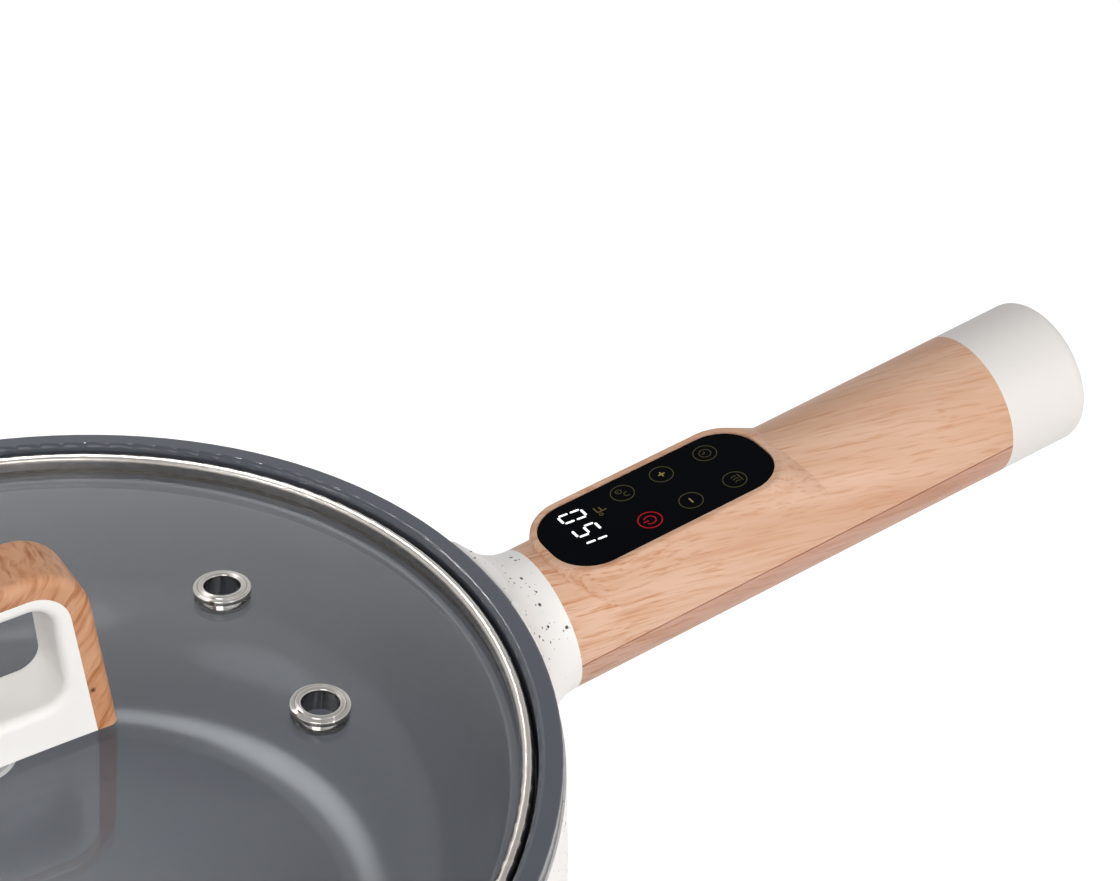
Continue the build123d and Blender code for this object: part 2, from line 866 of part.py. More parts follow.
with BuildPart() as heater_leads:
    for side in (-1, 1):
        start = Vector(element_reach + terminal_length, side * elbow_y, element_height)
        places = gap_route(element_height)
        inward = (elbow_y - lead_spacing) / len(places)
        rising = [
            Vector(x, side * (elbow_y - inward * place), z)
            for place, (x, z) in enumerate(places)
        ]
        through = [
            grip_point(neck_station, side * lead_spacing, 0),
            grip_point(lead_board_position, side * lead_spacing, 0),
            grip_point(lead_board_position, side * lead_spacing, power_board_top),
        ]
        bends = [lead_bend_radius] * 4 + [lead_drop_radius]
        add(round_lead([start] + rising + through, bends, lead_radius))
finish(heater_leads, "heater_leads")

# Earth lead from the heat plate's edge to the power board
earth_lead_level = plate_underside + heat_plate_thickness / 2
with BuildPart() as earth_lead:
    route = [Vector(heat_plate_radius, 0, earth_lead_level)]
    route += [Vector(x, 0, z) for x, z in gap_route(earth_lead_level)]
    route += [
        grip_point(neck_station, 0, 0),
        grip_point(earth_lead_position, 0, 0),
        grip_point(earth_lead_position, 0, power_board_top),
    ]
    add(round_lead(route, [lead_bend_radius] * 4 + [lead_drop_radius], earth_lead_radius))
finish(earth_lead, "earth_lead")


def panel_outline(margin):
    """Rounded outline a margin outside the touch glass, lengthwise on the grip."""
    with BuildSketch() as outline:
        with Locations((panel_centre, 0)):
            RectangleRounded(
                panel_length + 2 * margin,
                panel_width + 2 * margin,
                panel_corner + margin,
            )
    return outline.sketch


def grip_shell_screws(radius, start, length):
    """Upright cylinders at the grip's screws, from a height over the axis."""
    with BuildPart() as cylinders:
        with BuildSketch(grip_deck(start)):
            for along in grip_screw_positions:
                with Locations((along, grip_screw_y), (along, -grip_screw_y)):
                    Circle(radius)
        extrude(amount=length)
    return cylinders.part


def grip_body(start, end, inset):
    """Solid of the tapered grip between two stations, inset from its outside."""
    with BuildPart() as body:
        with BuildSketch(grip_side):
            add(grip_outline(start, end, inset))
        revolve(axis=grip_axis)
    return body.part


def grip_jaws(top):
    """Front wall and rear jaw that close on the neck tube, up to a height."""
    with BuildPart() as jaws:
        with BuildSketch(grip_section(grip_start)):
            Circle(grip_start_radius - grip_wall / 2)
            Circle(neck_tube_radius + neck_tube_fit, mode=Mode.SUBTRACT)
        extrude(amount=front_wall_thickness)
        with BuildSketch(grip_section(jaw_position)) as jaw:
            Circle(grip_start_radius - grip_wall / 2)
            Circle(neck_tube_radius + neck_tube_fit, mode=Mode.SUBTRACT)
            with Locations((0, top + grip_start_radius)):
                Rectangle(2 * grip_start_radius, 2 * grip_start_radius, mode=Mode.SUBTRACT)
        extrude(amount=jaw_thickness)
    return jaws.part


def grip_seam():
    """Groove round the grip where its two shells part."""
    with BuildPart() as seam:
        with BuildSketch(grip_deck(grip_split_height)):
            with Locations(((grip_start + grip_end) / 2, 0)):
                Rectangle(grip_end - grip_start, 3 * grip_end_radius)
        extrude(amount=grip_seam_width / 2, both=True)
        add(grip_body(grip_start, grip_end, grip_seam_depth), mode=Mode.SUBTRACT)
    return seam.part


# Grip: tapered body with the raised pod, before it is hollowed and parted
with BuildPart() as grip_blank:
    add(grip_body(grip_start, grip_end, 0))
    with BuildSketch(grip_deck(pod_top)):
        add(panel_outline(bezel_width))
    with BuildSketch(grip_deck(pod_foot_height)):
        with Locations((panel_centre + (pod_rear_ramp - pod_front_ramp) / 2, 0)):
            RectangleRounded(
                panel_length + 2 * bezel_width + pod_front_ramp + pod_rear_ramp,
                pod_foot_width,
                (pod_foot_width - pod_foot_end_flat) / 2,
            )
    loft(ruled=True)
    pod_face = grip_blank.faces().sort_by(Axis(grip_root, grip_up))[-1]
    fillet(pod_face.edges(), bezel_round)

# Upper grip shell: pod, glass recess, ledge and seat for the touch board
with BuildPart() as handle_upper_shell:
    add(grip_blank.part)
    add(grip_body(grip_start, grip_end, grip_wall), mode=Mode.SUBTRACT)
    with BuildSketch(grip_deck(ledge_height)):
        add(panel_outline(panel_fit))
    extrude(amount=pod_top - ledge_height, mode=Mode.SUBTRACT)
    with BuildSketch(grip_deck(touch_board_top)):
        add(panel_outline(-ledge_width))
    extrude(amount=ledge_height - touch_board_top, mode=Mode.SUBTRACT)
    with BuildSketch(grip_deck(0)):
        add(panel_outline(touch_board_step + touch_board_fit - ledge_width))
    extrude(amount=touch_board_top, mode=Mode.SUBTRACT)
    add(grip_jaws(jaw_top))
    add(grip_shell_screws(upper_boss_radius, grip_split_height, upper_boss_top - grip_split_height))
    add(
        grip_shell_screws(
            screw_shank_radius + screw_clearance,
            grip_split_height,
            grip_screw_seat + grip_screw_length + screw_tip_gap - grip_split_height,
        ),
        mode=Mode.SUBTRACT,
    )
    split(bisect_by=grip_deck(grip_split_height), keep=Keep.TOP)
    add(grip_seam(), mode=Mode.SUBTRACT)
finish(handle_upper_shell, "handle_upper_shell")

# Lower grip shell: screw bosses open from below, and posts for the power board
with BuildPart() as handle_lower_shell:
    add(grip_body(grip_start, grip_end, 0))
    add(grip_body(grip_start, grip_end, grip_wall), mode=Mode.SUBTRACT)
    with BuildPart(mode=Mode.PRIVATE) as inner_features:
        add(grip_shell_screws(lower_boss_radius, -grip_end_radius, grip_end_radius + grip_split_height))
        with BuildSketch(grip_deck(-grip_end_radius)):
            with Locations((power_board_centre, 0)):
                with GridLocations(
                    power_board_length - 2 * board_post_inset,
                    power_board_width - 2 * board_post_inset,
                    2,
                    2,
                ):
                    Circle(board_post_radius)
        extrude(amount=grip_end_radius + power_board_height)
        add(grip_jaws(jaw_top))
        add(grip_body(grip_start, grip_end, grip_wall / 2), mode=Mode.INTERSECT)
    add(inner_features.part)
    add(
        grip_shell_screws(
            screw_shank_radius + screw_clearance,
            grip_screw_seat,
            grip_split_height - grip_screw_seat,
        ),
        mode=Mode.SUBTRACT,
    )
    add(
        grip_shell_screws(
            grip_screw_recess_radius,
            -grip_end_radius,
            grip_end_radius + grip_screw_seat,
        ),
        mode=Mode.SUBTRACT,
    )
    with BuildSketch(grip_deck(power_board_height)):
        with Locations((power_board_centre, 0)):
            with GridLocations(
                power_board_length - 2 * board_post_inset,
                power_board_width - 2 * board_post_inset,
                2,
                2,
            ):
                Circle(screw_shank_radius + screw_clearance)
    extrude(amount=-board_screw_length, mode=Mode.SUBTRACT)
    split(bisect_by=grip_deck(grip_split_height), keep=Keep.BOTTOM)
    add(grip_seam(), mode=Mode.SUBTRACT)
finish(handle_lower_shell, "handle_lower_shell")

# Grip screws
with BuildPart() as handle_screws:
    add(grip_shell_screws(screw_head_radius, grip_screw_seat, -screw_head_height))
    add(grip_shell_screws(screw_shank_radius, grip_screw_seat, grip_screw_length))
finish(handle_screws, "handle_screws")

# Touch glass and the gasket it is bedded on
with BuildPart() as touch_glass:
    with BuildSketch(grip_deck(panel_underside)):
        add(panel_outline(0))
    extrude(amount=glass_thickness)
    glass_face = touch_glass.faces().sort_by(Axis(grip_root, grip_up))[-1]
    fillet(glass_face.edges(), glass_edge_round)
finish(touch_glass, "touch_glass")

with BuildPart() as panel_gasket:
    with BuildSketch(grip_deck(ledge_height)):
        add(panel_outline(0))
        add(panel_outline(-ledge_width), mode=Mode.SUBTRACT)
    extrude(amount=gasket_thickness)
finish(panel_gasket, "panel_gasket")

# Touch board with the display, the key pads and the buzzer on it
with BuildPart() as touch_board:
    with BuildSketch(grip_deck(touch_board_underside)):
        add(panel_outline(touch_board_step - ledge_width))
    extrude(amount=board_thickness)
finish(touch_board, "touch_board")

with BuildPart() as led_display:
    with BuildSketch(grip_deck(touch_board_top)):
        with Locations((display_position, display_across)):
            RectangleRounded(display_length, display_width, display_round)
    extrude(amount=display_height)
finish(led_display, "led_display")

with BuildPart() as touch_pads:
    with BuildSketch(grip_deck(touch_board_top)):
        for along in key_columns:
            with Locations(*[(along, across) for across in key_rows]):
                Circle(key_pad_radius)
    extrude(amount=display_height)
finish(touch_pads, "touch_pads")

with BuildPart() as buzzer:
    with BuildSketch(grip_deck(touch_board_underside)):
        with Locations((buzzer_position, 0)):
            Circle(buzzer_radius)
    extrude(amount=-buzzer_height)
finish(buzzer, "buzzer")

# Power board on its posts, with its larger components
with BuildPart() as power_board:
    with BuildSketch(grip_deck(power_board_height)):
        with Locations((power_board_centre, 0)):
            RectangleRounded(power_board_length, power_board_width, power_board_corner)
            with GridLocations(
                power_board_length - 2 * board_post_inset,
                power_board_width - 2 * board_post_inset,
                2,
                2,
            ):
                Circle(screw_shank_radius + screw_clearance, mode=Mode.SUBTRACT)
    extrude(amount=board_thickness)
finish(power_board, "power_board")

with BuildPart() as board_screws:
    with BuildSketch(grip_deck(power_board_top)) as screw_places:
        with Locations((power_board_centre, 0)):
            with GridLocations(
                power_board_length - 2 * board_post_inset,
                power_board_width - 2 * board_post_inset,
                2,
                2,
            ):
                Circle(screw_shank_radius)
    extrude(amount=screw_tip_gap - board_screw_length - board_thickness)
    with BuildSketch(grip_deck(power_board_top)):
        with Locations((power_board_centre, 0)):
            with GridLocations(
                power_board_length - 2 * board_post_inset,
                power_board_width - 2 * board_post_inset,
                2,
                2,
            ):
                Circle(screw_head_radius)
    extrude(amount=screw_head_height)
finish(board_screws, "board_screws")


def board_component(position, size):
    """Block with rounded upright edges that stands on the power board."""
    length, width, height = size
    with BuildPart() as component:
        with BuildSketch(grip_deck(power_board_top)):
            with Locations((position, 0)):
                RectangleRounded(length, width, component_round)
        extrude(amount=height)
    return component


# Relay, transformer and capacitor in a row between the header and the inlet's leads
component_names = ["power_relay", "supply_transformer", "filter_capacitor"]
row_start = link_position + link_size[0] / 2
row_end = inlet_lead_board_position - inlet_lead_radius
row_room = row_end - row_start - sum(size[0] for size in component_sizes)
row_gap = row_room / (len(component_sizes) + 1)
row_edge = row_start
for name, size in zip(component_names, component_sizes):
    row_edge += row_gap
    finish(board_component(row_edge + size[0] / 2, size), name)
    row_edge += size[0]

# Header that links the two boards
with BuildPart() as board_link:
    with BuildSketch(grip_deck(power_board_top)):
        with Locations((link_position, 0)):
            Rectangle(*link_size)
    extrude(amount=touch_board_underside - power_board_top)
finish(board_link, "board_link")


def inlet_outline(width, height, corner):
    """Rounded outline of one part of the mains inlet, centred on the grip's axis."""
    with BuildSketch() as outline:
        RectangleRounded(width, height, corner)
    return outline.sketch


# End cap: thin-walled cup with a spigot into the grip and a seat for the inlet
cap_radius = grip_radius(cap_end)
spigot_radius = grip_radius(grip_end - spigot_length) - grip_wall - spigot_fit
with BuildPart() as end_cap:
    with BuildSketch(grip_side):
        with BuildLine():
            FilletPolyline(
                (grip_end - spigot_length, spigot_radius - cap_wall),
                (grip_end - spigot_length, spigot_radius),
                (grip_end, spigot_radius),
                (grip_end, grip_radius(grip_end)),
                (cap_end, cap_radius),
                (cap_end, 0),
                (cap_end - cap_rear_wall, 0),
                (cap_end - cap_rear_wall, spigot_radius - cap_wall),
                radius=[0, 0, 0, 0, cap_round, 0, 0, 0],
                close=True,
            )
        make_face()
    revolve(axis=grip_axis)
    with BuildSketch(grip_section(cap_end)):
        add(
            inlet_outline(
                inlet_flange_width + 2 * inlet_fit,
                inlet_flange_height + 2 * inlet_fit,
                inlet_flange_corner + inlet_fit,
            )
        )
    extrude(amount=-inlet_flange_thickness, mode=Mode.SUBTRACT)
    with BuildSketch(grip_section(cap_end)):
        add(
            inlet_outline(
                inlet_body_width + 2 * inlet_fit,
                inlet_body_height + 2 * inlet_fit,
                inlet_body_corner + inlet_fit,
            )
        )
    extrude(amount=-cap_rear_wall, mode=Mode.SUBTRACT)
finish(end_cap, "end_cap")

# Blades of the inlet, and the places they share with its back wall
blade_places = [(-blade_pitch, -blade_row_drop), (blade_pitch, -blade_row_drop), (0, blade_row_drop)]
blade_root = cap_end - inlet_mouth_depth
blade_end = cap_end - inlet_body_depth - blade_tail


def blade_set(fit):
    """The three blades, a fit larger all round."""
    with BuildPart() as blades:
        with BuildSketch(grip_section(blade_end)):
            with Locations(*blade_places):
                Rectangle(blade_width + 2 * fit, blade_height + 2 * fit)
        extrude(amount=blade_root + blade_length - blade_end)
    return blades


finish(blade_set(0), "inlet_blades")

# Inlet socket: flanged body with a mouth for the lead's connector
with BuildPart() as inlet_socket:
    with BuildSketch(grip_section(cap_end)):
        add(inlet_outline(inlet_flange_width, inlet_flange_height, inlet_flange_corner))
    extrude(amount=-inlet_flange_thickness)
    with BuildSketch(grip_section(cap_end)):
        add(inlet_outline(inlet_body_width, inlet_body_height, inlet_body_corner))
    extrude(amount=-inlet_body_depth)
    with BuildSketch(grip_section(cap_end)):
        add(inlet_outline(inlet_mouth_width, inlet_mouth_height, inlet_mouth_corner))
    extrude(amount=-inlet_mouth_depth, mode=Mode.SUBTRACT)
    add(blade_set(screw_clearance).part, mode=Mode.SUBTRACT)
finish(inlet_socket, "inlet_socket")

# Leads from the inlet's blades to the power board
with BuildPart() as inlet_leads:
    for across, height in blade_places:
        level = across / blade_pitch * inlet_lead_spacing
        route = [
            grip_point(blade_end, across, height),
            grip_point(blade_end - inlet_lead_stub, across, height),
            grip_point(inlet_lead_turn, level, 0),
            grip_point(inlet_lead_board_position, level, 0),
            grip_point(inlet_lead_board_position, level, power_board_top),
        ]
        bends = [lead_bend_radius, lead_bend_radius, inlet_lead_drop_radius]
        add(round_lead(route, bends, inlet_lead_radius))
finish(inlet_leads, "inlet_leads")


def vent_seat(side):
    """Plane on the dome's upper face at one vent, square to the glass."""
    angle = side * math.radians(vent_angle)
    spot = Vector(
        vent_circle_radius * math.cos(angle),
        vent_circle_radius * math.sin(angle),
        dome_height(vent_circle_radius, 0),
    )
    normal = spot - Vector(0, 0, dome_centre)
    return Plane(origin=spot, x_dir=Vector(normal.Z, 0, -normal.X), z_dir=normal)


# Lid glass: shallow dome with a screw hole and two vent holes square to its face
with BuildPart() as lid_glass:
    with BuildSketch(Plane.XZ):
        add(dome_outline(0, lid_glass_radius, seat_height))
        add(dome_outline(lid_glass_thickness, lid_glass_radius, seat_height), mode=Mode.SUBTRACT)
    revolve(axis=Axis.Z)
    with BuildSketch(Plane.XY.offset(glass_underside - overrun)):
        Circle(lid_hole_radius)
    extrude(amount=lid_glass_thickness + 2 * overrun, mode=Mode.SUBTRACT)
    for side in (-1, 1):
        with BuildSketch(vent_seat(side)):
            Circle(vent_radius + vent_barrel_wall + vent_glass_fit)
        extrude(amount=lid_glass_thickness + overrun, both=True, mode=Mode.SUBTRACT)
finish(lid_glass, "lid_glass")

# Lid band: closed ring with a round crown that grips the edge of the glass
with BuildPart() as lid_band:
    with BuildSketch(Plane.XZ):
        with BuildLine():
            FilletPolyline(
                (band_inner_radius, seat_height),
                (band_outer_radius, seat_height),
                (band_outer_radius, rim_height - band_top_drop),
                (band_inner_radius, rim_height - band_top_drop),
                radius=[band_foot_round, band_foot_round, band_crown_round, band_crown_round],
                close=True,
            )
        make_face()
    revolve(axis=Axis.Z)
    add(lid_glass.part, mode=Mode.SUBTRACT)
finish(lid_band, "lid_band")


def vent_eyelet(side):
    """Rounded ring on the glass with a barrel through it and a flange below."""
    seat = vent_seat(side)
    barrel = vent_radius + vent_barrel_wall
    flange_top = -lid_glass_thickness - seat_gap
    with BuildPart() as eyelet:
        with BuildSketch(Plane(origin=seat.origin, x_dir=seat.x_dir, z_dir=-seat.y_dir)):
            with BuildLine():
                FilletPolyline(
                    (vent_radius, flange_top - vent_foot_thickness),
                    (vent_foot_radius, flange_top - vent_foot_thickness),
                    (vent_foot_radius, flange_top),
                    (barrel, flange_top),
                    (barrel, 0),
                    (vent_ring_radius, 0),
                    (vent_ring_radius, vent_ring_height),
                    (vent_groove_radius + vent_groove_flank, vent_ring_height),
                    (vent_groove_radius, vent_groove_height),
                    (vent_groove_radius - vent_groove_flank, vent_lip_height),
                    (vent_radius, vent_lip_height),
                    radius=[
                        0,
                        0,
                        0,
                        0,
                        0,
                        0,
                        vent_ring_round,
                        vent_groove_round,
                        vent_groove_round,
                        vent_lip_round,
                        vent_lip_round,
                    ],
                    close=True,
                )
            make_face()
        revolve(axis=Axis(seat.origin, seat.z_dir))
    return eyelet


finish(vent_eyelet(1), "vent_eyelet_left")
finish(vent_eyelet(-1), "vent_eyelet_right")


def dome_solid(depth):
    """All that lies under a face a depth below the dome, out past the lid handle."""
    with BuildPart() as dome:
        with BuildSketch(Plane.XZ):
            add(dome_outline(depth, band_inner_radius, seat_height))
        revolve(axis=Axis.Z)
    return dome.part


# Lid handle frame: wide block with a finger opening, its foot shaped to the dome
with BuildPart() as lid_handle_frame:
    with BuildSketch(Plane.XZ):
        add(tapered_bridge(frame_half_width, frame_top, frame_corner, handle_foot))
    extrude(amount=frame_depth / 2, both=True)
    with BuildSketch(Plane.XZ):
        with Locations((0, rim_height + (opening_bottom + opening_top) / 2)):
            RectangleRounded(
                2 * opening_half_width,
                opening_top - opening_bottom,
                opening_corner,
            )
    extrude(amount=frame_depth / 2, both=True, mode=Mode.SUBTRACT)
    frame_faces = lid_handle_frame.faces().sort_by(Axis.Y)
    opening_edges = frame_faces[0].inner_wires().edges() + frame_faces[-1].inner_wires().edges()
    fillet(opening_edges, opening_edge_round)
    add(dome_solid(-seat_gap), mode=Mode.SUBTRACT)
    with BuildSketch(Plane.XY.offset(seat_height)):
        Circle(insert_radius)
    extrude(amount=dome_crown + seat_gap + insert_height - seat_height, mode=Mode.SUBTRACT)
finish(lid_handle_frame, "lid_handle_frame")

# Lid handle strap: bent wooden band over the frame
with BuildPart() as lid_handle_strap:
    with BuildSketch(Plane.XZ):
        add(tapered_bridge(strap_half_width, strap_top, strap_corner, handle_foot))
    extrude(amount=frame_depth / 2, both=True)
    fillet(
        lid_handle_strap.edges().filter_by(Plane.XZ).sort_by(Axis.Z)[2:],
        strap_edge_round,
    )
    with BuildSketch(Plane.XZ):
        add(tapered_bridge(frame_half_width, frame_top, frame_corner, handle_foot))
    extrude(amount=frame_depth / 2, both=True, mode=Mode.SUBTRACT)
    add(dome_solid(-seat_gap), mode=Mode.SUBTRACT)
finish(lid_handle_strap, "lid_handle_strap")

# Threaded insert in the frame
with BuildPart() as lid_handle_insert:
    with BuildSketch(Plane.XY.offset(dome_crown + seat_gap)):
        Circle(insert_radius)
        Circle(lid_screw_radius + screw_clearance, mode=Mode.SUBTRACT)
    extrude(amount=insert_height)
finish(lid_handle_insert, "lid_handle_insert")

# Screw, cup washer and soft washer that hold the handle from below the glass
with BuildPart() as lid_handle_screw:
    with BuildSketch(Plane.XY.offset(lid_screw_seat)):
        Circle(lid_screw_head_radius)
    extrude(amount=-lid_screw_head_height)
    with BuildSketch(Plane.XY.offset(lid_screw_seat)):
        Circle(lid_screw_radius)
    extrude(amount=dome_crown + seat_gap + insert_height - insert_tip_gap - lid_screw_seat)
finish(lid_handle_screw, "lid_handle_screw")

with BuildPart() as lid_cup_washer:
    with BuildSketch(Plane.XY.offset(lid_screw_seat)):
        Circle(cup_washer_radius)
        Circle(lid_screw_radius + screw_clearance, mode=Mode.SUBTRACT)
    extrude(amount=cup_washer_thickness)
finish(lid_cup_washer, "lid_cup_washer")

with BuildPart() as lid_soft_washer:
    with BuildSketch(Plane.XY.offset(cup_washer_top)):
        Circle(soft_washer_radius)
        Circle(lid_screw_radius + screw_clearance, mode=Mode.SUBTRACT)
    extrude(amount=soft_washer_thickness)
finish(lid_soft_washer, "lid_soft_washer")
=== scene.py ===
import bpy
import bmesh
import math
from mathutils import Matrix, Vector


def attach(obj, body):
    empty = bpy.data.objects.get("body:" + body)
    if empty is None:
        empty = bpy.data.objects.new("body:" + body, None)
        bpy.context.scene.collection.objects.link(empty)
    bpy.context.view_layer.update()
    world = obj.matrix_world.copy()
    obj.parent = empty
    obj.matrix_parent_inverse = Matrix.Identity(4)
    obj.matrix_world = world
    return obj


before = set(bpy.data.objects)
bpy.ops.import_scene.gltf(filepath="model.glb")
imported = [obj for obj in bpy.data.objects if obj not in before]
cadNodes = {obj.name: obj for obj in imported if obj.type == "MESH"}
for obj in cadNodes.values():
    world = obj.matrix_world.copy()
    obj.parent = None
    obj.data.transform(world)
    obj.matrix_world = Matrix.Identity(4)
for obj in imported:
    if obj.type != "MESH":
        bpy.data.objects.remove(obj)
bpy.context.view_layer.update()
scene = bpy.context.scene
print("frame loaded:", len(cadNodes), "nodes")

# camera, fitted to the rim, the lid and the handle

cameraSetup = {
    "place": (-0.10584, -0.44239, 0.48857),
    "right": (0.84540, -0.53378, -0.01926),
    "up": (0.31965, 0.47672, 0.81888),
    "focalPixels": 2418.9,
    "imageWidth": 1120.0,
    "sensor": 36.0,
    "near": 0.01,
    "far": 20.0,
}


def addCamera(setup):
    data = bpy.data.cameras.new("photoCamera")
    data.sensor_width = setup["sensor"]
    data.lens = setup["focalPixels"] * setup["sensor"] / setup["imageWidth"]
    data.clip_start = setup["near"]
    data.clip_end = setup["far"]
    cam = bpy.data.objects.new("photoCamera", data)
    scene.collection.objects.link(cam)
    right = Vector(setup["right"]).normalized()
    up = Vector(setup["up"]).normalized()
    back = right.cross(up).normalized()
    up = back.cross(right)
    turn = Matrix((right, up, back)).transposed()
    cam.matrix_world = Matrix.Translation(setup["place"]) @ turn.to_4x4()
    scene.camera = cam


addCamera(cameraSetup)
print("camera placed")

# node helpers


def srgb(red, green, blue):
    # 0-255 as read off a picture, to the linear value a shader wants
    out = []
    for part in (red, green, blue):
        part = part / 255.0
        out.append(part / 12.92 if part <= 0.04045 else ((part + 0.055) / 1.055) ** 2.4)
    return (out[0], out[1], out[2], 1.0)


def scaled(colour, factor):
    return tuple(min(part * factor, 1.0) for part in colour[:3]) + (1.0,)


def newMaterial(name, roughness, metallic=0.0):
    material = bpy.data.materials.new(name)
    material.use_nodes = True
    tree = material.node_tree
    shader = tree.nodes["Principled BSDF"]
    shader.inputs["Roughness"].default_value = roughness
    shader.inputs["Metallic"].default_value = metallic
    return material, tree, shader


def addNode(tree, kind, settings=None, **inputs):
    made = tree.nodes.new(kind)
    for key, value in (settings or {}).items():
        setattr(made, key, value)
    for key, value in inputs.items():
        made.inputs[key.replace("_", " ")].default_value = value
    return made


def feed(tree, socket, value):
    # another node's output is linked, a number or a colour goes on the socket itself
    if isinstance(value, bpy.types.NodeSocket):
        tree.links.new(value, socket)
    else:
        socket.default_value = value


def objectCoords(tree, turn=(0.0, 0.0, 0.0), place=(0.0, 0.0, 0.0)):
    coords = addNode(tree, "ShaderNodeTexCoord")
    mapping = addNode(tree, "ShaderNodeMapping", Location=place, Rotation=turn)
    tree.links.new(coords.outputs["Object"], mapping.inputs["Vector"])
    return mapping.outputs["Vector"]


def axesOf(tree, vector):
    parts = addNode(tree, "ShaderNodeSeparateXYZ")
    tree.links.new(vector, parts.inputs[0])
    return parts.outputs


noiseSpan = (0.3, 0.7)  # most of a noise's values lie between these


def noise(tree, vector, scale, detail=3.0, roughness=0.5):
    made = addNode(tree, "ShaderNodeTexNoise", Scale=scale, Detail=detail, Roughness=roughness)
    tree.links.new(vector, made.inputs["Vector"])
    return made.outputs[0]


def remap(tree, value, fromLow, fromHigh, toLow=0.0, toHigh=1.0):
    made = addNode(tree, "ShaderNodeMapRange")
    for spot, part in enumerate((value, fromLow, fromHigh, toLow, toHigh)):
        feed(tree, made.inputs[spot], part)
    return made.outputs[0]


def maths(tree, operation, *values):
    made = addNode(tree, "ShaderNodeMath", {"operation": operation})
    for spot, value in enumerate(values):
        feed(tree, made.inputs[spot], value)
    return made.outputs[0]


def vectorMaths(tree, operation, *values):
    made = addNode(tree, "ShaderNodeVectorMath", {"operation": operation})
    for spot, value in enumerate(values):
        feed(tree, made.inputs[spot], value)
    return made.outputs["Value" if operation == "DISTANCE" else "Vector"]


def mixColours(tree, factor, first, second):
    made = addNode(tree, "ShaderNodeMix", {"data_type": "RGBA"})
    for spot, value in zip((0, 6, 7), (factor, first, second)):
        feed(tree, made.inputs[spot], value)
    return made.outputs[2]


def addBump(tree, shader, height, depth):
    made = addNode(tree, "ShaderNodeBump", Strength=1.0, Distance=depth)
    tree.links.new(height, made.inputs["Height"])
    tree.links.new(made.outputs["Normal"], shader.inputs["Normal"])


glossSockets = {
    "specular": "Specular IOR Level",
    "coat": "Coat Weight",
    "coatRoughness": "Coat Roughness",
    "ior": "IOR",
}


def setGloss(shader, look):
    for key, socket in glossSockets.items():
        if key in look:
            shader.inputs[socket].default_value = look[key]


def dress(material, nodeNames):
    # a finish on CAD nodes, whose meshes stay as they are
    for nodeName in nodeNames:
        mesh = cadNodes[nodeName].data
        mesh.materials.clear()
        mesh.materials.append(material)


# plain finishes: a colour that varies in patches, and where it has a grain, its size and depth

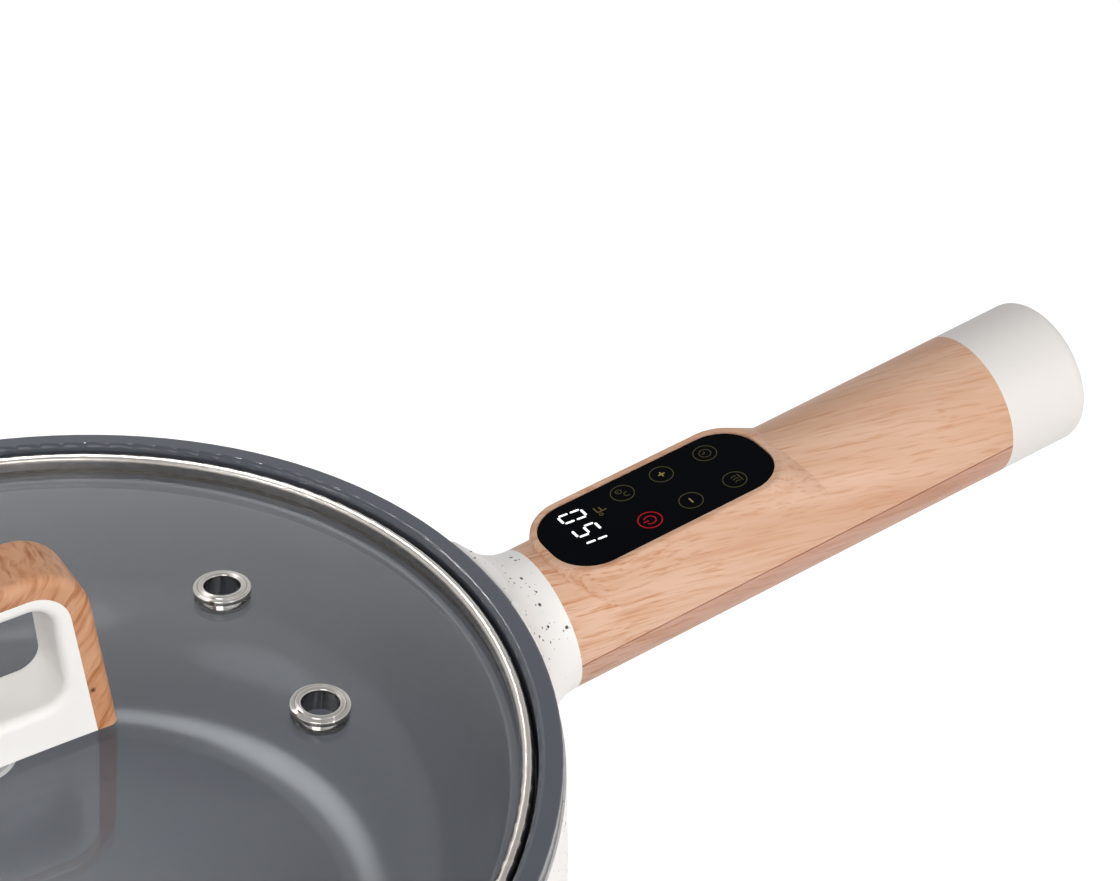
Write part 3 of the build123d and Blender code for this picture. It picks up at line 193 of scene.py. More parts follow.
plainFinishes = {
    "panCoating": {
        "colour": srgb(72, 76, 84), "roughness": 0.34, "metallic": 0.0, "vary": 0.03, "patch": 22.0,
        "specular": 0.08, "coat": 0.55, "coatRoughness": 0.13,
        "nodes": ["cooking_pan"],
    },
    "basePlastic": {
        "colour": srgb(46, 47, 49), "roughness": 0.55, "metallic": 0.0, "vary": 0.08, "patch": 40.0,
        "grain": 1800.0, "depth": 0.00004,
        "nodes": ["base_cover"],
    },
    "footRubber": {
        "colour": srgb(28, 28, 28), "roughness": 0.85, "metallic": 0.0, "vary": 0.10, "patch": 90.0,
        "grain": 2400.0, "depth": 0.00005,
        "nodes": ["foot_ring", "neck_seal", "panel_gasket"],
    },
    "screwSteel": {
        "colour": srgb(188, 188, 190), "roughness": 0.30, "metallic": 1.0, "vary": 0.10, "patch": 300.0,
        "grain": 900.0, "depth": 0.00001,
        "nodes": ["base_screws", "bracket_screws", "handle_screws", "board_screws", "lid_handle_screw"],
    },
    "plateAluminium": {
        "colour": srgb(200, 201, 204), "roughness": 0.42, "metallic": 1.0, "vary": 0.08, "patch": 60.0,
        "grain": 700.0, "depth": 0.00002,
        "nodes": ["heat_plate", "temperature_probe"],
    },
    "elementSheath": {
        "colour": srgb(112, 104, 98), "roughness": 0.48, "metallic": 1.0, "vary": 0.30, "patch": 70.0,
        "grain": 600.0, "depth": 0.00003,
        "nodes": ["heating_element"],
    },
    "zincSheet": {
        "colour": srgb(176, 179, 184), "roughness": 0.38, "metallic": 1.0, "vary": 0.16, "patch": 120.0,
        "grain": 260.0, "depth": 0.00001,
        "nodes": ["heat_reflector", "reflector_posts", "probe_bracket", "handle_bracket"],
    },
    "fuseCeramic": {
        "colour": srgb(226, 220, 206), "roughness": 0.60, "metallic": 0.0, "vary": 0.08, "patch": 200.0,
        "grain": 2000.0, "depth": 0.00002,
        "nodes": ["thermal_fuse"],
    },
    "leadSleeve": {
        "colour": srgb(222, 219, 210), "roughness": 0.62, "metallic": 0.0, "vary": 0.08, "patch": 150.0,
        "grain": 2600.0, "depth": 0.00006,
        "nodes": ["heater_leads", "inlet_leads"],
    },
    "earthSleeve": {
        "colour": srgb(96, 150, 52), "roughness": 0.60, "metallic": 0.0, "vary": 0.16, "patch": 150.0,
        "grain": 2600.0, "depth": 0.00006,
        "nodes": ["earth_lead"],
    },
    "displayBody": {
        "colour": srgb(232, 232, 228), "roughness": 0.35, "metallic": 0.0, "vary": 0.04, "patch": 200.0,
        "grain": 1500.0, "depth": 0.00001,
        "nodes": ["led_display"],
    },
    "padFoam": {
        "colour": srgb(40, 40, 42), "roughness": 0.92, "metallic": 0.0, "vary": 0.20, "patch": 900.0,
        "grain": 3200.0, "depth": 0.00010,
        "nodes": ["touch_pads"],
    },
    "relayCase": {
        "colour": srgb(30, 31, 34), "roughness": 0.32, "metallic": 0.0, "vary": 0.06, "patch": 140.0,
        "grain": 1200.0, "depth": 0.00001,
        "nodes": ["power_relay", "buzzer", "board_link"],
    },
    "windingTape": {
        "colour": srgb(214, 176, 70), "roughness": 0.45, "metallic": 0.0, "vary": 0.12, "patch": 220.0,
        "grain": 800.0, "depth": 0.00004,
        "nodes": ["supply_transformer"],
    },
    "filmCase": {
        "colour": srgb(186, 56, 38), "roughness": 0.38, "metallic": 0.0, "vary": 0.06, "patch": 180.0,
        "grain": 1300.0, "depth": 0.00002,
        "nodes": ["filter_capacitor"],
    },
    "capPlastic": {
        "colour": srgb(233, 228, 224), "roughness": 0.48, "metallic": 0.0, "vary": 0.02, "patch": 35.0,
        "grain": 1900.0, "depth": 0.00002, "specular": 0.30,
        "nodes": ["end_cap"],
    },
    "framePlastic": {
        "colour": srgb(249, 246, 242), "roughness": 0.46, "metallic": 0.0, "vary": 0.015, "patch": 35.0,
        "grain": 1900.0, "depth": 0.00002, "specular": 0.30,
        "nodes": ["lid_handle_frame"],
    },
    "inletBlack": {
        "colour": srgb(26, 26, 27), "roughness": 0.40, "metallic": 0.0, "vary": 0.06, "patch": 120.0,
        "grain": 1700.0, "depth": 0.00003,
        "nodes": ["inlet_socket"],
    },
    "bladeBrass": {
        "colour": srgb(206, 178, 112), "roughness": 0.26, "metallic": 1.0, "vary": 0.12, "patch": 300.0,
        "grain": 900.0, "depth": 0.00001,
        "nodes": ["inlet_blades", "lid_handle_insert"],
    },
    "eyeletSteel": {
        "colour": srgb(178, 175, 170), "roughness": 0.13, "metallic": 1.0, "vary": 0.04, "patch": 200.0,
        "nodes": ["vent_eyelet_left", "vent_eyelet_right", "lid_cup_washer"],
    },
    "washerSilicone": {
        "colour": srgb(214, 213, 208), "roughness": 0.55, "metallic": 0.0, "vary": 0.05, "patch": 180.0,
        "grain": 2200.0, "depth": 0.00002,
        "nodes": ["lid_soft_washer"],
    },
}


roughnessSwing = (0.93, 1.07)


def plainFinish(name, look):
    material, tree, shader = newMaterial(name, look["roughness"], look["metallic"])
    coords = objectCoords(tree)
    patch = noise(tree, coords, look["patch"], detail=4.0, roughness=0.6)
    low, high = (scaled(look["colour"], 1.0 + side * look["vary"]) for side in (-1, 1))
    tree.links.new(mixColours(tree, patch, low, high), shader.inputs["Base Color"])
    spread = remap(tree, patch, *noiseSpan, *(look["roughness"] * part for part in roughnessSwing))
    tree.links.new(spread, shader.inputs["Roughness"])
    if "grain" in look:
        addBump(tree, shader, noise(tree, coords, look["grain"], detail=2.0), look["depth"])
    setGloss(shader, look)
    return material


for finishName, look in plainFinishes.items():
    dress(plainFinish(finishName, look), look["nodes"])
print("plain finishes:", len(plainFinishes))

# speckled enamel on the shell and the neck

enamel = {
    "colour": srgb(246, 243, 240),
    "shade": srgb(242, 239, 236),
    "shadeScale": 30.0,
    "roughness": 0.40,
    "specular": 0.35,
    "coat": 0.08,
    "coatRoughness": 0.25,
    "grain": 1500.0,
    "depth": 0.00002,
    "ragged": 0.00022,  # how far a speck's edge strays
    "raggedScale": 2600.0,
    "edge": (-0.01, 0.02),  # how a speck fades in, as a share of its cell
    "cluster": 60.0,
    "clusterFrom": 0.42,
    "specks": [
        {"cells": 380.0, "share": 0.50, "small": 0.10, "large": 0.24, "colour": srgb(40, 44, 48)},
        {"cells": 760.0, "share": 0.34, "small": 0.12, "large": 0.25, "colour": srgb(120, 124, 124)},
    ],
    "nodes": ["outer_shell", "neck_collar"],
}


def strayed(tree, vector, scale, reach):
    # the coordinates pushed about by a noise, by at most half the reach
    wander = addNode(tree, "ShaderNodeTexNoise", Scale=scale, Detail=2.0)
    tree.links.new(vector, wander.inputs["Vector"])
    centred = vectorMaths(tree, "SUBTRACT", wander.outputs["Color"], (0.5, 0.5, 0.5))
    return vectorMaths(tree, "MULTIPLY_ADD", centred, reach, vector)


def speckMask(tree, vector, groups, spray, edge):
    # one spray: a few cells of a Voronoi pattern hold a speck, each of its own size, most of them small
    cells = addNode(tree, "ShaderNodeTexVoronoi", Scale=spray["cells"])
    tree.links.new(vector, cells.inputs["Vector"])
    pick = addNode(tree, "ShaderNodeSeparateColor")
    tree.links.new(cells.outputs["Color"], pick.inputs["Color"])
    size = maths(tree, "POWER", pick.outputs[0], 2.0)
    size = remap(tree, size, 0.0, 1.0, spray["small"], spray["large"])
    chosen = maths(tree, "LESS_THAN", pick.outputs[1], spray["share"])
    size = maths(tree, "MULTIPLY", size, maths(tree, "MULTIPLY", chosen, groups))
    return remap(tree, maths(tree, "SUBTRACT", size, cells.outputs["Distance"]), *edge)


def speckledEnamel(look):
    material, tree, shader = newMaterial("speckledEnamel", look["roughness"])
    coords = objectCoords(tree)
    ragged = strayed(tree, coords, look["raggedScale"], (look["ragged"],) * 3)
    cluster = noise(tree, coords, look["cluster"], detail=2.0)
    groups = maths(tree, "GREATER_THAN", cluster, look["clusterFrom"])
    colour = mixColours(tree, noise(tree, coords, look["shadeScale"]), look["shade"], look["colour"])
    for spray in look["specks"]:
        mask = speckMask(tree, ragged, groups, spray, look["edge"])
        colour = mixColours(tree, mask, colour, spray["colour"])
    tree.links.new(colour, shader.inputs["Base Color"])
    addBump(tree, shader, noise(tree, coords, look["grain"], detail=2.0), look["depth"])
    setGloss(shader, look)
    return material


dress(speckledEnamel(enamel), enamel["nodes"])
print("speckled enamel done")

# wood: a printed grain that winds along the grip, a stronger one over the lid's strap

gripTilt = math.radians(5.65)
gripRoot = Vector((0.0, 0.0, 0.0527))

woodPrint = {
    "bandEdges": (0.38, 0.62),
    "lineEdges": (0.50, 0.70),
    "fleckEdges": (0.52, 0.72),
    "depth": 0.00002,
    "specular": 0.14,
}

gripWood = {
    **woodPrint,
    "light": srgb(224, 185, 159),
    "middle": srgb(213, 169, 140),
    "streak": srgb(196, 134, 94),
    "roughness": 0.42,
    "turn": (0.0, gripTilt, 0.0),
    "place": (-gripRoot.z * math.sin(gripTilt), 0.0, -gripRoot.z * math.cos(gripTilt)),
    "twist": -12.0,
    "swimScale": 22.0,
    "swim": (0.0, 0.0060, 0.0060),
    "bandScale": (8.0, 75.0, 75.0),
    "lineScale": (24.0, 420.0, 420.0),
    "fleckScale": (66.0, 980.0, 980.0),
    "lineAmount": 0.30,
    "fleckAmount": 0.55,
    "boldFrom": 0.212,  # the lines are bolder towards the pan, from here to the next
    "boldTo": 0.165,
    "boldness": 1.9,
    "nodes": ["handle_upper_shell"],
}

# the lower half of the grip is the same wood print, darkened as painted shade for the underside
gripWoodPaintedShade = {
    **gripWood,
    "light": srgb(204, 163, 143),
    "middle": srgb(194, 148, 125),
    "streak": srgb(176, 118, 84),
    "nodes": ["handle_lower_shell"],
}

strapWood = {
    **woodPrint,
    "light": srgb(213, 162, 127),
    "middle": srgb(201, 144, 105),
    "streak": srgb(164, 97, 53),
    "roughness": 0.46,
    "turn": (0.0, math.radians(45.0), 0.0),
    "place": (0.0, 0.0, 0.0),
    "swimScale": 75.0,
    "swim": (0.0, 0.0, 0.0040),
    "bandScale": (30.0, 40.0, 120.0),
    "lineScale": (70.0, 110.0, 520.0),
    "fleckScale": (150.0, 260.0, 1300.0),
    "lineAmount": 0.85,
    "fleckAmount": 0.45,
    "knot": {
        "place": (0.0275, -0.0095, 0.1120),
        "core": 0.0003,
        "rim": 0.0009,
        "amount": 0.9,
        "colour": srgb(72, 44, 34),
    },
    "nodes": ["lid_handle_strap"],
}


def twisted(tree, vector, rate):
    # the pattern turns about the X axis by so many radians a metre
    turned = addNode(tree, "ShaderNodeVectorRotate", {"rotation_type": "X_AXIS"})
    tree.links.new(vector, turned.inputs["Vector"])
    tree.links.new(maths(tree, "MULTIPLY", axesOf(tree, vector)["X"], rate), turned.inputs["Angle"])
    return turned.outputs[0]


def grainPattern(tree, vector, stretch, detail, roughness):
    return noise(tree, vectorMaths(tree, "MULTIPLY", vector, stretch), 1.0, detail, roughness)


def knotMask(tree, knot):
    reach = vectorMaths(tree, "DISTANCE", objectCoords(tree), knot["place"])
    return remap(tree, reach, knot["core"], knot["rim"], knot["amount"], 0.0)


def woodFinish(name, look):
    material, tree, shader = newMaterial(name, look["roughness"])
    coords = objectCoords(tree, look["turn"], look["place"])
    wound = twisted(tree, coords, look["twist"]) if "twist" in look else coords
    grain = strayed(tree, wound, look["swimScale"], look["swim"])
    bands = grainPattern(tree, grain, look["bandScale"], detail=3.0, roughness=0.55)
    lines = grainPattern(tree, grain, look["lineScale"], detail=2.0, roughness=0.5)
    flecks = grainPattern(tree, grain, look["fleckScale"], detail=2.0, roughness=0.6)
    bold = 1.0
    if "boldness" in look:
        along = axesOf(tree, coords)["X"]
        bold = remap(tree, along, look["boldFrom"], look["boldTo"], 1.0, look["boldness"])
    colour = mixColours(tree, remap(tree, bands, *look["bandEdges"]), look["light"], look["middle"])
    for pattern, edges, amount in (
        (lines, look["lineEdges"], look["lineAmount"]),
        (flecks, look["fleckEdges"], look["fleckAmount"]),
    ):
        mask = maths(tree, "MULTIPLY", remap(tree, pattern, *edges, 0.0, amount), bold)
        colour = mixColours(tree, mask, colour, look["streak"])
    if "knot" in look:
        colour = mixColours(tree, knotMask(tree, look["knot"]), colour, look["knot"]["colour"])
    tree.links.new(colour, shader.inputs["Base Color"])
    addBump(tree, shader, lines, look["depth"])
    setGloss(shader, look)
    return material


for woodName, look in (("gripWood", gripWood), ("gripWoodPaintedShade", gripWoodPaintedShade), ("strapWood", strapWood)):
    dress(woodFinish(woodName, look), look["nodes"])
print("wood grain done")

# lid glass and its steel band

glassLook = {
    "tint": (0.965, 0.970, 0.970, 1.0),
    "ior": 1.40,
    "roughness": 0.0,
    "shadow": (0.90, 0.91, 0.92, 1.0),
    "wave": 9.0,
    "depth": 0.00002,
    "nodes": ["lid_glass"],
}

bandLook = {
    "dark": srgb(178, 172, 166),
    "pale": srgb(190, 185, 179),
    "roughness": 0.22,
    "roughnessRange": (0.20, 0.25),
    "brushing": 380.0,
    "crownInner": 0.13125,  # the middle of the round crown: two radii and a height
    "crownOuter": 0.13145,
    "crownHeight": 0.09125,
    "footFacing": -0.5,  # faces that point further down than this belong to the flat foot
    "nodes": ["lid_band"],
}


def lidGlass(look):
    material, tree, shader = newMaterial("lidGlass", look["roughness"])
    shader.inputs["Base Color"].default_value = look["tint"]
    shader.inputs["Transmission Weight"].default_value = 1.0
    setGloss(shader, look)
    addBump(tree, shader, noise(tree, objectCoords(tree), look["wave"], detail=1.0), look["depth"])
    # light goes through to the pan without a hard shadow of the glass
    clear = addNode(tree, "ShaderNodeBsdfTransparent", Color=look["shadow"])
    path = addNode(tree, "ShaderNodeLightPath")
    blend = addNode(tree, "ShaderNodeMixShader")
    for spot, value in enumerate((path.outputs["Is Shadow Ray"], shader.outputs[0], clear.outputs[0])):
        tree.links.new(value, blend.inputs[spot])
    tree.links.new(blend.outputs[0], tree.nodes["Material Output"].inputs["Surface"])
    return material


def crownNormal(tree, look):
    # the ring's true slope at a point of its section, so that facets don't show in the steel
    x, y, z = axesOf(tree, objectCoords(tree))
    squares = maths(tree, "ADD", maths(tree, "MULTIPLY", x, x), maths(tree, "MULTIPLY", y, y))
    reach = maths(tree, "SQRT", squares)
    nearest = maths(tree, "MINIMUM", maths(tree, "MAXIMUM", reach, look["crownInner"]), look["crownOuter"])
    outward = maths(tree, "DIVIDE", maths(tree, "SUBTRACT", reach, nearest), reach)
    upward = maths(tree, "MAXIMUM", maths(tree, "SUBTRACT", z, look["crownHeight"]), 0.0)
    slope = addNode(tree, "ShaderNodeCombineXYZ")
    for spot, value in enumerate((x, y)):
        tree.links.new(maths(tree, "MULTIPLY", value, outward), slope.inputs[spot])
    tree.links.new(upward, slope.inputs["Z"])
    # the flat foot keeps the mesh's own slope
    surface = addNode(tree, "ShaderNodeNewGeometry").outputs["Normal"]
    above = maths(tree, "GREATER_THAN", axesOf(tree, surface)["Z"], look["footFacing"])
    chosen = addNode(tree, "ShaderNodeMix", {"data_type": "VECTOR"})
    for spot, value in ((0, above), (4, surface), (5, slope.outputs[0])):
        tree.links.new(value, chosen.inputs[spot])
    return vectorMaths(tree, "NORMALIZE", chosen.outputs[1])


def bandSteel(look):
    material, tree, shader = newMaterial("bandSteel", look["roughness"], metallic=1.0)
    spun = noise(tree, objectCoords(tree), look["brushing"])
    tree.links.new(mixColours(tree, spun, look["dark"], look["pale"]), shader.inputs["Base Color"])
    tree.links.new(remap(tree, spun, *noiseSpan, *look["roughnessRange"]), shader.inputs["Roughness"])
    tree.links.new(crownNormal(tree, look), shader.inputs["Normal"])
    return material


dress(lidGlass(glassLook), glassLook["nodes"])
dress(bandSteel(bandLook), bandLook["nodes"])
print("lid glass and band done")

# touch panel: black glass over a circuit board

panelGlassLook = {
    "dark": srgb(3, 4, 8),
    "pale": srgb(5, 7, 12),
    "roughness": 0.06,
    "roughnessRange": (0.05, 0.09),
    "smear": 55.0,
    "specular": 0.02,
    "nodes": ["touch_glass"],
}

boardLook = {
    "mask": srgb(20, 96, 52),
    "trace": srgb(36, 124, 66),
    "traceScale": 260.0,
    "traceEdges": (0.45, 0.55),
    "roughness": 0.35,
    "depth": 0.00002,
    "nodes": ["touch_board", "power_board"],
}


def glossBlack(look):
    material, tree, shader = newMaterial("panelGlass", look["roughness"])
    smear = noise(tree, objectCoords(tree), look["smear"])
    tree.links.new(mixColours(tree, smear, look["dark"], look["pale"]), shader.inputs["Base Color"])
    tree.links.new(remap(tree, smear, *noiseSpan, *look["roughnessRange"]), shader.inputs["Roughness"])
    setGloss(shader, look)
    return material


def boardMask(look):
    # solder mask with faint traces and pads
    material, tree, shader = newMaterial("boardMask", look["roughness"])
    cells = addNode(tree, "ShaderNodeTexVoronoi", {"distance": "MANHATTAN"}, Scale=look["traceScale"])
    tree.links.new(objectCoords(tree), cells.inputs["Vector"])
    traces = remap(tree, cells.outputs["Distance"], *look["traceEdges"])
    tree.links.new(mixColours(tree, traces, look["mask"], look["trace"]), shader.inputs["Base Color"])
    addBump(tree, shader, traces, look["depth"])
    return material


dress(glossBlack(panelGlassLook), panelGlassLook["nodes"])
dress(boardMask(boardLook), boardLook["nodes"])

# lit and printed signs in the glass: x runs along the grip, y across it, z out of the glass

panelLook = {
    "height": 0.02170,
    "proud": 0.00003,
    "sunk": 0.00008,
    "barCut": 0.45,  # how far a bar's ends are cut to points, as a share of its width
    "ringStep": 7.5,  # degrees
    "mergeGap": 0.0000005,
}

glowLook = {
    "unlit": (0.01, 0.01, 0.01, 1.0),
    "roughness": 0.4,
    "specular": 0.0,
    "uneven": 900.0,
    "dimmest": 0.85,
}

digitLook = {
    "size": (0.0036, 0.0068),
    "lean": 0.14,
    "width": 0.00072,
    "gap": 0.00034,
    "base": 0.1800,
    "digits": [("1", -0.0064), ("5", 0.0006), ("0", 0.0078)],
    "segments": {"0": "abcdef", "1": "bc", "5": "acdfg"},
    "light": ("litWhite", (1.0, 0.99, 1.0, 1.0), 1.6),
}

keyPlaces = {
    "unit": (0.1844, 0.0064),
    "power": (0.1924, -0.0065),
    "dual": (0.1929, 0.0079),
    "minus": (0.2058, -0.0068),
    "plus": (0.2059, 0.0078),
    "heat": (0.2203, -0.0071),
    "clock": (0.2206, 0.0077),
}
keyRadius = 0.00335
keyMiddle = (0.0, 0.0)
fullTurn = 360.0
heatWaves = (-0.0011, 0.0, 0.0011)
lineWidths = {
    "hair": 0.00022,
    "thin": 0.00024,
    "key": 0.00026,
    "lit": 0.00032,
    "unit": 0.00040,
    "sign": 0.00045,
}

# a ring is its key, middle, radius, line, sweep and first angle; a bar is its key, two ends and line
signs = {
    "powerKey": {
        "rings": [
            ("power", keyMiddle, keyRadius, "lit", fullTurn, 0.0),
            ("power", keyMiddle, 0.00165, "lit", 290.0, 215.0),
        ],
        "bars": [("power", (-0.0021, 0.0), (-0.0004, 0.0), "lit")],
        "light": ("litRed", srgb(206, 18, 36), 0.72),
    },
    "dimKeys": {
        "rings": [
            *(
                (key, keyMiddle, keyRadius, "key", fullTurn, 0.0)
                for key in ("minus", "plus", "dual", "heat", "clock")
            ),
            ("dual", (-0.0006, 0.0011), 0.00085, "thin", fullTurn, 0.0),
            ("dual", (0.0009, -0.0010), 0.00085, "key", 240.0, 60.0),
            ("clock", keyMiddle, 0.0017, "thin", fullTurn, 0.0),
        ],
        "bars": [
            ("dual", (-0.0006, 0.0011), (-0.0011, 0.0011), "hair"),
            ("clock", keyMiddle, (-0.0011, 0.0), "key"),
            ("clock", keyMiddle, (0.0, 0.0009), "key"),
            *(("heat", (0.0012, wave), (0.0003, wave + 0.0003), "key") for wave in heatWaves),
            *(("heat", (0.0003, wave + 0.0003), (-0.0006, wave - 0.0001), "key") for wave in heatWaves),
            ("heat", (0.0018, -0.0016), (0.0018, 0.0016), "key"),
        ],
        "light": ("litOlive", srgb(92, 88, 52), 0.55),
    },
    "plusMinusSigns": {
        "rings": [],
        "bars": [
            ("minus", (0.0, -0.0011), (0.0, 0.0011), "sign"),
            ("plus", (0.0, -0.0011), (0.0, 0.0011), "sign"),
            ("plus", (-0.0011, 0.0), (0.0011, 0.0), "sign"),
        ],
        "light": ("litYellow", srgb(170, 158, 84), 0.6),
    },
    "unitSign": {
        "rings": [("unit", (-0.0010, -0.0024), 0.0005, "hair", fullTurn, 0.0)],
        "bars": [
            ("unit", (0.0015, -0.0012), (-0.0015, -0.0012), "unit"),
            ("unit", (-0.0014, -0.0011), (-0.0014, 0.0012), "unit"),
            ("unit", (0.0, -0.0011), (0.0, 0.0007), "unit"),
        ],
        "light": ("litSand", srgb(126, 110, 60), 0.5),
    },
}

alongGrip = Vector((math.cos(gripTilt), 0.0, math.sin(gripTilt)))
outOfGlass = Vector((-math.sin(gripTilt), 0.0, math.cos(gripTilt)))
panelTurn = Matrix((alongGrip, Vector((0.0, 1.0, 0.0)), outOfGlass)).transposed().to_4x4()
panelPlane = Matrix.Translation(gripRoot + outOfGlass * panelLook["height"]) @ panelTurn
signDepth = panelLook["proud"] + panelLook["sunk"]
signMiddle = panelLook["proud"] - signDepth / 2


def glowMark(name, colour, strength):
    material, tree, shader = newMaterial(name, glowLook["roughness"])
    uneven = noise(tree, objectCoords(tree), glowLook["uneven"], detail=2.0)
    dim = scaled(colour, glowLook["dimmest"])
    tree.links.new(mixColours(tree, uneven, dim, colour), shader.inputs["Emission Color"])
    shader.inputs["Base Color"].default_value = glowLook["unlit"]
    shader.inputs["Emission Strength"].default_value = strength
    setGloss(shader, glowLook)
    return material


def addBar(bm, start, end, width):
    # one flat bar between two points, with its upright edges cut so that the ends are pointed
    start, end = Vector(start), Vector(end)
    run = end - start
    middle = (start + end) / 2
    place = (
        Matrix.Translation((middle.x, middle.y, signMiddle))
        @ Matrix.Rotation(math.atan2(run.y, run.x), 4, "Z")
        @ Matrix.Diagonal((run.length, width, signDepth, 1.0))
    )
    made = bmesh.ops.create_cube(bm, size=1.0, matrix=place)
    upright = [
        edge
        for edge in {edge for vert in made["verts"] for edge in vert.link_edges}
        if abs((edge.verts[0].co - edge.verts[1].co).normalized().z) > 0.9
    ]
    offset = width * panelLook["barCut"]
    bmesh.ops.bevel(bm, geom=upright, offset=offset, segments=2, profile=0.5, affect="EDGES", material=-1)


def addRing(bm, centre, radius, line, sweep, first):
    # a flat ring, or part of one, spun from a small rectangle
    section = (
        Matrix.Translation((centre[0], centre[1], signMiddle))
        @ Matrix.Rotation(math.radians(first), 4, "Z")
        @ Matrix.Translation((radius, 0.0, 0.0))
        @ Matrix.Rotation(math.radians(90.0), 4, "X")
        @ Matrix.Diagonal((line, signDepth, 1.0, 1.0))
    )
    made = bmesh.ops.create_grid(bm, x_segments=1, y_segments=1, size=0.5, matrix=section)
    face = made["verts"][0].link_faces[0]
    whole = sweep >= fullTurn
    edges = list(face.edges)
    if whole:
        bmesh.ops.delete(bm, geom=[face], context="FACES_ONLY")
    bmesh.ops.spin(
        bm,
        geom=edges if whole else edges + [face],
        cent=(centre[0], centre[1], 0.0),
        axis=(0.0, 0.0, 1.0),
        angle=math.radians(sweep),
        steps=round(sweep / panelLook["ringStep"]),
        use_merge=whole,
    )


def finishSign(bm, name, light):
    bmesh.ops.remove_doubles(bm, verts=bm.verts, dist=panelLook["mergeGap"])
    bmesh.ops.recalc_face_normals(bm, faces=bm.faces)
    bm.transform(panelPlane)
    mesh = bpy.data.meshes.new(name)
    bm.to_mesh(mesh)
    bm.free()
    mesh.materials.append(glowMark(*light))
    piece = bpy.data.objects.new(name, mesh)
    scene.collection.objects.link(piece)
    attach(piece, "cooker")


def litDigits(look):
    bm = bmesh.new()
    wide, tall = look["size"]
    half = tall / 2
    # a reader at the grip's end sees +Y to the right and the pan's side as up
    corners = {
        "a": ((0, tall), (wide, tall)),
        "b": ((wide, tall), (wide, half)),
        "c": ((wide, half), (wide, 0)),
        "d": ((0, 0), (wide, 0)),
        "e": ((0, half), (0, 0)),
        "f": ((0, tall), (0, half)),
        "g": ((0, half), (wide, half)),
    }
    for digit, across in look["digits"]:
        for letter in look["segments"][digit]:
            start, end = (
                Vector((look["base"] - y, across - wide / 2 + x + look["lean"] * y))
                for x, y in corners[letter]
            )
            run = (end - start).normalized() * look["gap"]
            addBar(bm, start + run, end - run, look["width"])
    finishSign(bm, "litDigits", look["light"])


def addSign(name, look):
    bm = bmesh.new()
    for key, centre, radius, line, sweep, first in look["rings"]:
        addRing(bm, Vector(keyPlaces[key]) + Vector(centre), radius, lineWidths[line], sweep, first)
    for key, start, end, line in look["bars"]:
        place = Vector(keyPlaces[key])
        addBar(bm, place + Vector(start), place + Vector(end), lineWidths[line])
    finishSign(bm, name, look["light"])


litDigits(digitLook)
for signName, look in signs.items():
    addSign(signName, look)
print("touch panel done")

# floor, lamps and world

studio = {
    "floorSize": 3.0,
    "floorColour": (0.74, 0.74, 0.74, 1.0),
    "floorRoughness": 0.9,
    "floorGlow": 0.70,
    "ambient": 0.39,
    "ceiling": 0.66,  # what gloss and glass see overhead, against 1 for the backdrop
    "ceilingFrom": 0.50,
    "ceilingTo": 0.66,
    "lamps": [
        ("frontSoftbox", (0.50, -1.25, 0.55), (0.12, 0.0, 0.06), 1.2, 9.8),
        ("overheadSoftbox", (0.13, 0.73, 0.99), (0.07, 0.0, 0.03), 0.34, 5.2),
        ("leftFill", (-0.55, -0.75, 0.80), (0.0, 0.0, 0.08), 0.7, 3.5),
        ("leftSoftbox", (-0.80, 0.20, 0.85), (0.06, 0.0, 0.04), 0.5, 2.0),
    ],
    # these lamps light, but no mirror shows them, and the first lights only these nodes
    "unmirrored": ["overheadSoftbox", "leftSoftbox", "frontSoftbox"],
    "lightsOnly": {
        "overheadSoftbox": ["cooking_pan", "lid_band", "vent_eyelet_left", "vent_eyelet_right"],
    },
}
pureWhite = (1.0, 1.0, 1.0, 1.0)


def seenRays(tree):
    # white to the camera and in gloss and glass, but not as light that has met a matt surface
    path = addNode(tree, "ShaderNodeLightPath")
    seen = maths(tree, "MAXIMUM", path.outputs["Is Camera Ray"], path.outputs["Is Glossy Ray"])
    seen = maths(tree, "MAXIMUM", seen, path.outputs["Is Transmission Ray"])
    return maths(tree, "MULTIPLY", seen, maths(tree, "LESS_THAN", path.outputs["Diffuse Depth"], 0.5))


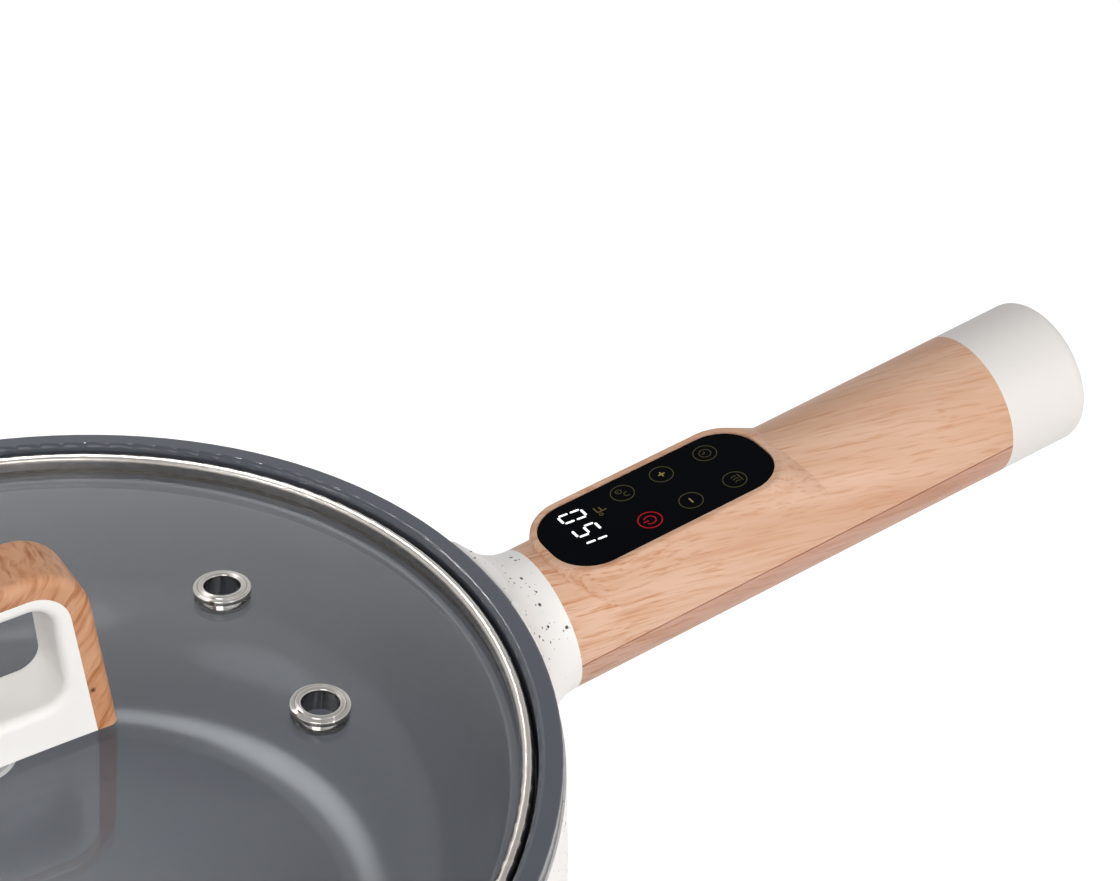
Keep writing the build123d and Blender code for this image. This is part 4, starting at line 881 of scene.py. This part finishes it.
def addFloor(look):
    bm = bmesh.new()
    bmesh.ops.create_grid(bm, x_segments=8, y_segments=8, size=look["floorSize"])
    mesh = bpy.data.meshes.new("studioFloor")
    bm.to_mesh(mesh)
    bm.free()
    floor = bpy.data.objects.new("studioFloor", mesh)
    scene.collection.objects.link(floor)
    material, tree, shader = newMaterial("studioFloor", look["floorRoughness"])
    shader.inputs["Base Color"].default_value = look["floorColour"]
    shader.inputs["Specular IOR Level"].default_value = 0.0
    shader.inputs["Emission Color"].default_value = pureWhite
    glow = maths(tree, "MULTIPLY", seenRays(tree), look["floorGlow"])
    tree.links.new(glow, shader.inputs["Emission Strength"])
    mesh.materials.append(material)


def addLamps(look):
    for name, place, aim, size, power in look["lamps"]:
        data = bpy.data.lights.new(name, "AREA")
        data.shape = "DISK"
        data.size = size
        data.energy = power
        data.cycles.use_multiple_importance_sampling = name not in look["unmirrored"]
        lamp = bpy.data.objects.new(name, data)
        scene.collection.objects.link(lamp)
        lamp.location = place
        lamp.rotation_euler = (Vector(aim) - Vector(place)).to_track_quat("-Z", "Y").to_euler()
        if name in look["lightsOnly"]:
            receivers = bpy.data.collections.new(name + "Receivers")
            for nodeName in look["lightsOnly"][name]:
                receivers.objects.link(cadNodes[nodeName])
            lamp.light_linking.receiver_collection = receivers


def addWorld(look):
    world = bpy.data.worlds.new("studioWorld")
    world.use_nodes = True
    tree = world.node_tree
    background = tree.nodes["Background"]
    background.inputs["Color"].default_value = pureWhite
    height = axesOf(tree, addNode(tree, "ShaderNodeTexCoord").outputs["Generated"])["Z"]
    bright = remap(tree, height, look["ceilingFrom"], look["ceilingTo"], 1.0, look["ceiling"])
    bright = maths(tree, "MAXIMUM", bright, addNode(tree, "ShaderNodeLightPath").outputs["Is Camera Ray"])
    seen = seenRays(tree)
    dim = maths(tree, "MULTIPLY", maths(tree, "SUBTRACT", 1.0, seen), look["ambient"])
    strength = maths(tree, "ADD", maths(tree, "MULTIPLY", seen, bright), dim)
    tree.links.new(strength, background.inputs["Strength"])
    scene.world = world


addFloor(studio)
addLamps(studio)
addWorld(studio)
scene.view_settings.view_transform = "Standard"
print("studio done")

# closing line

print("scene built")
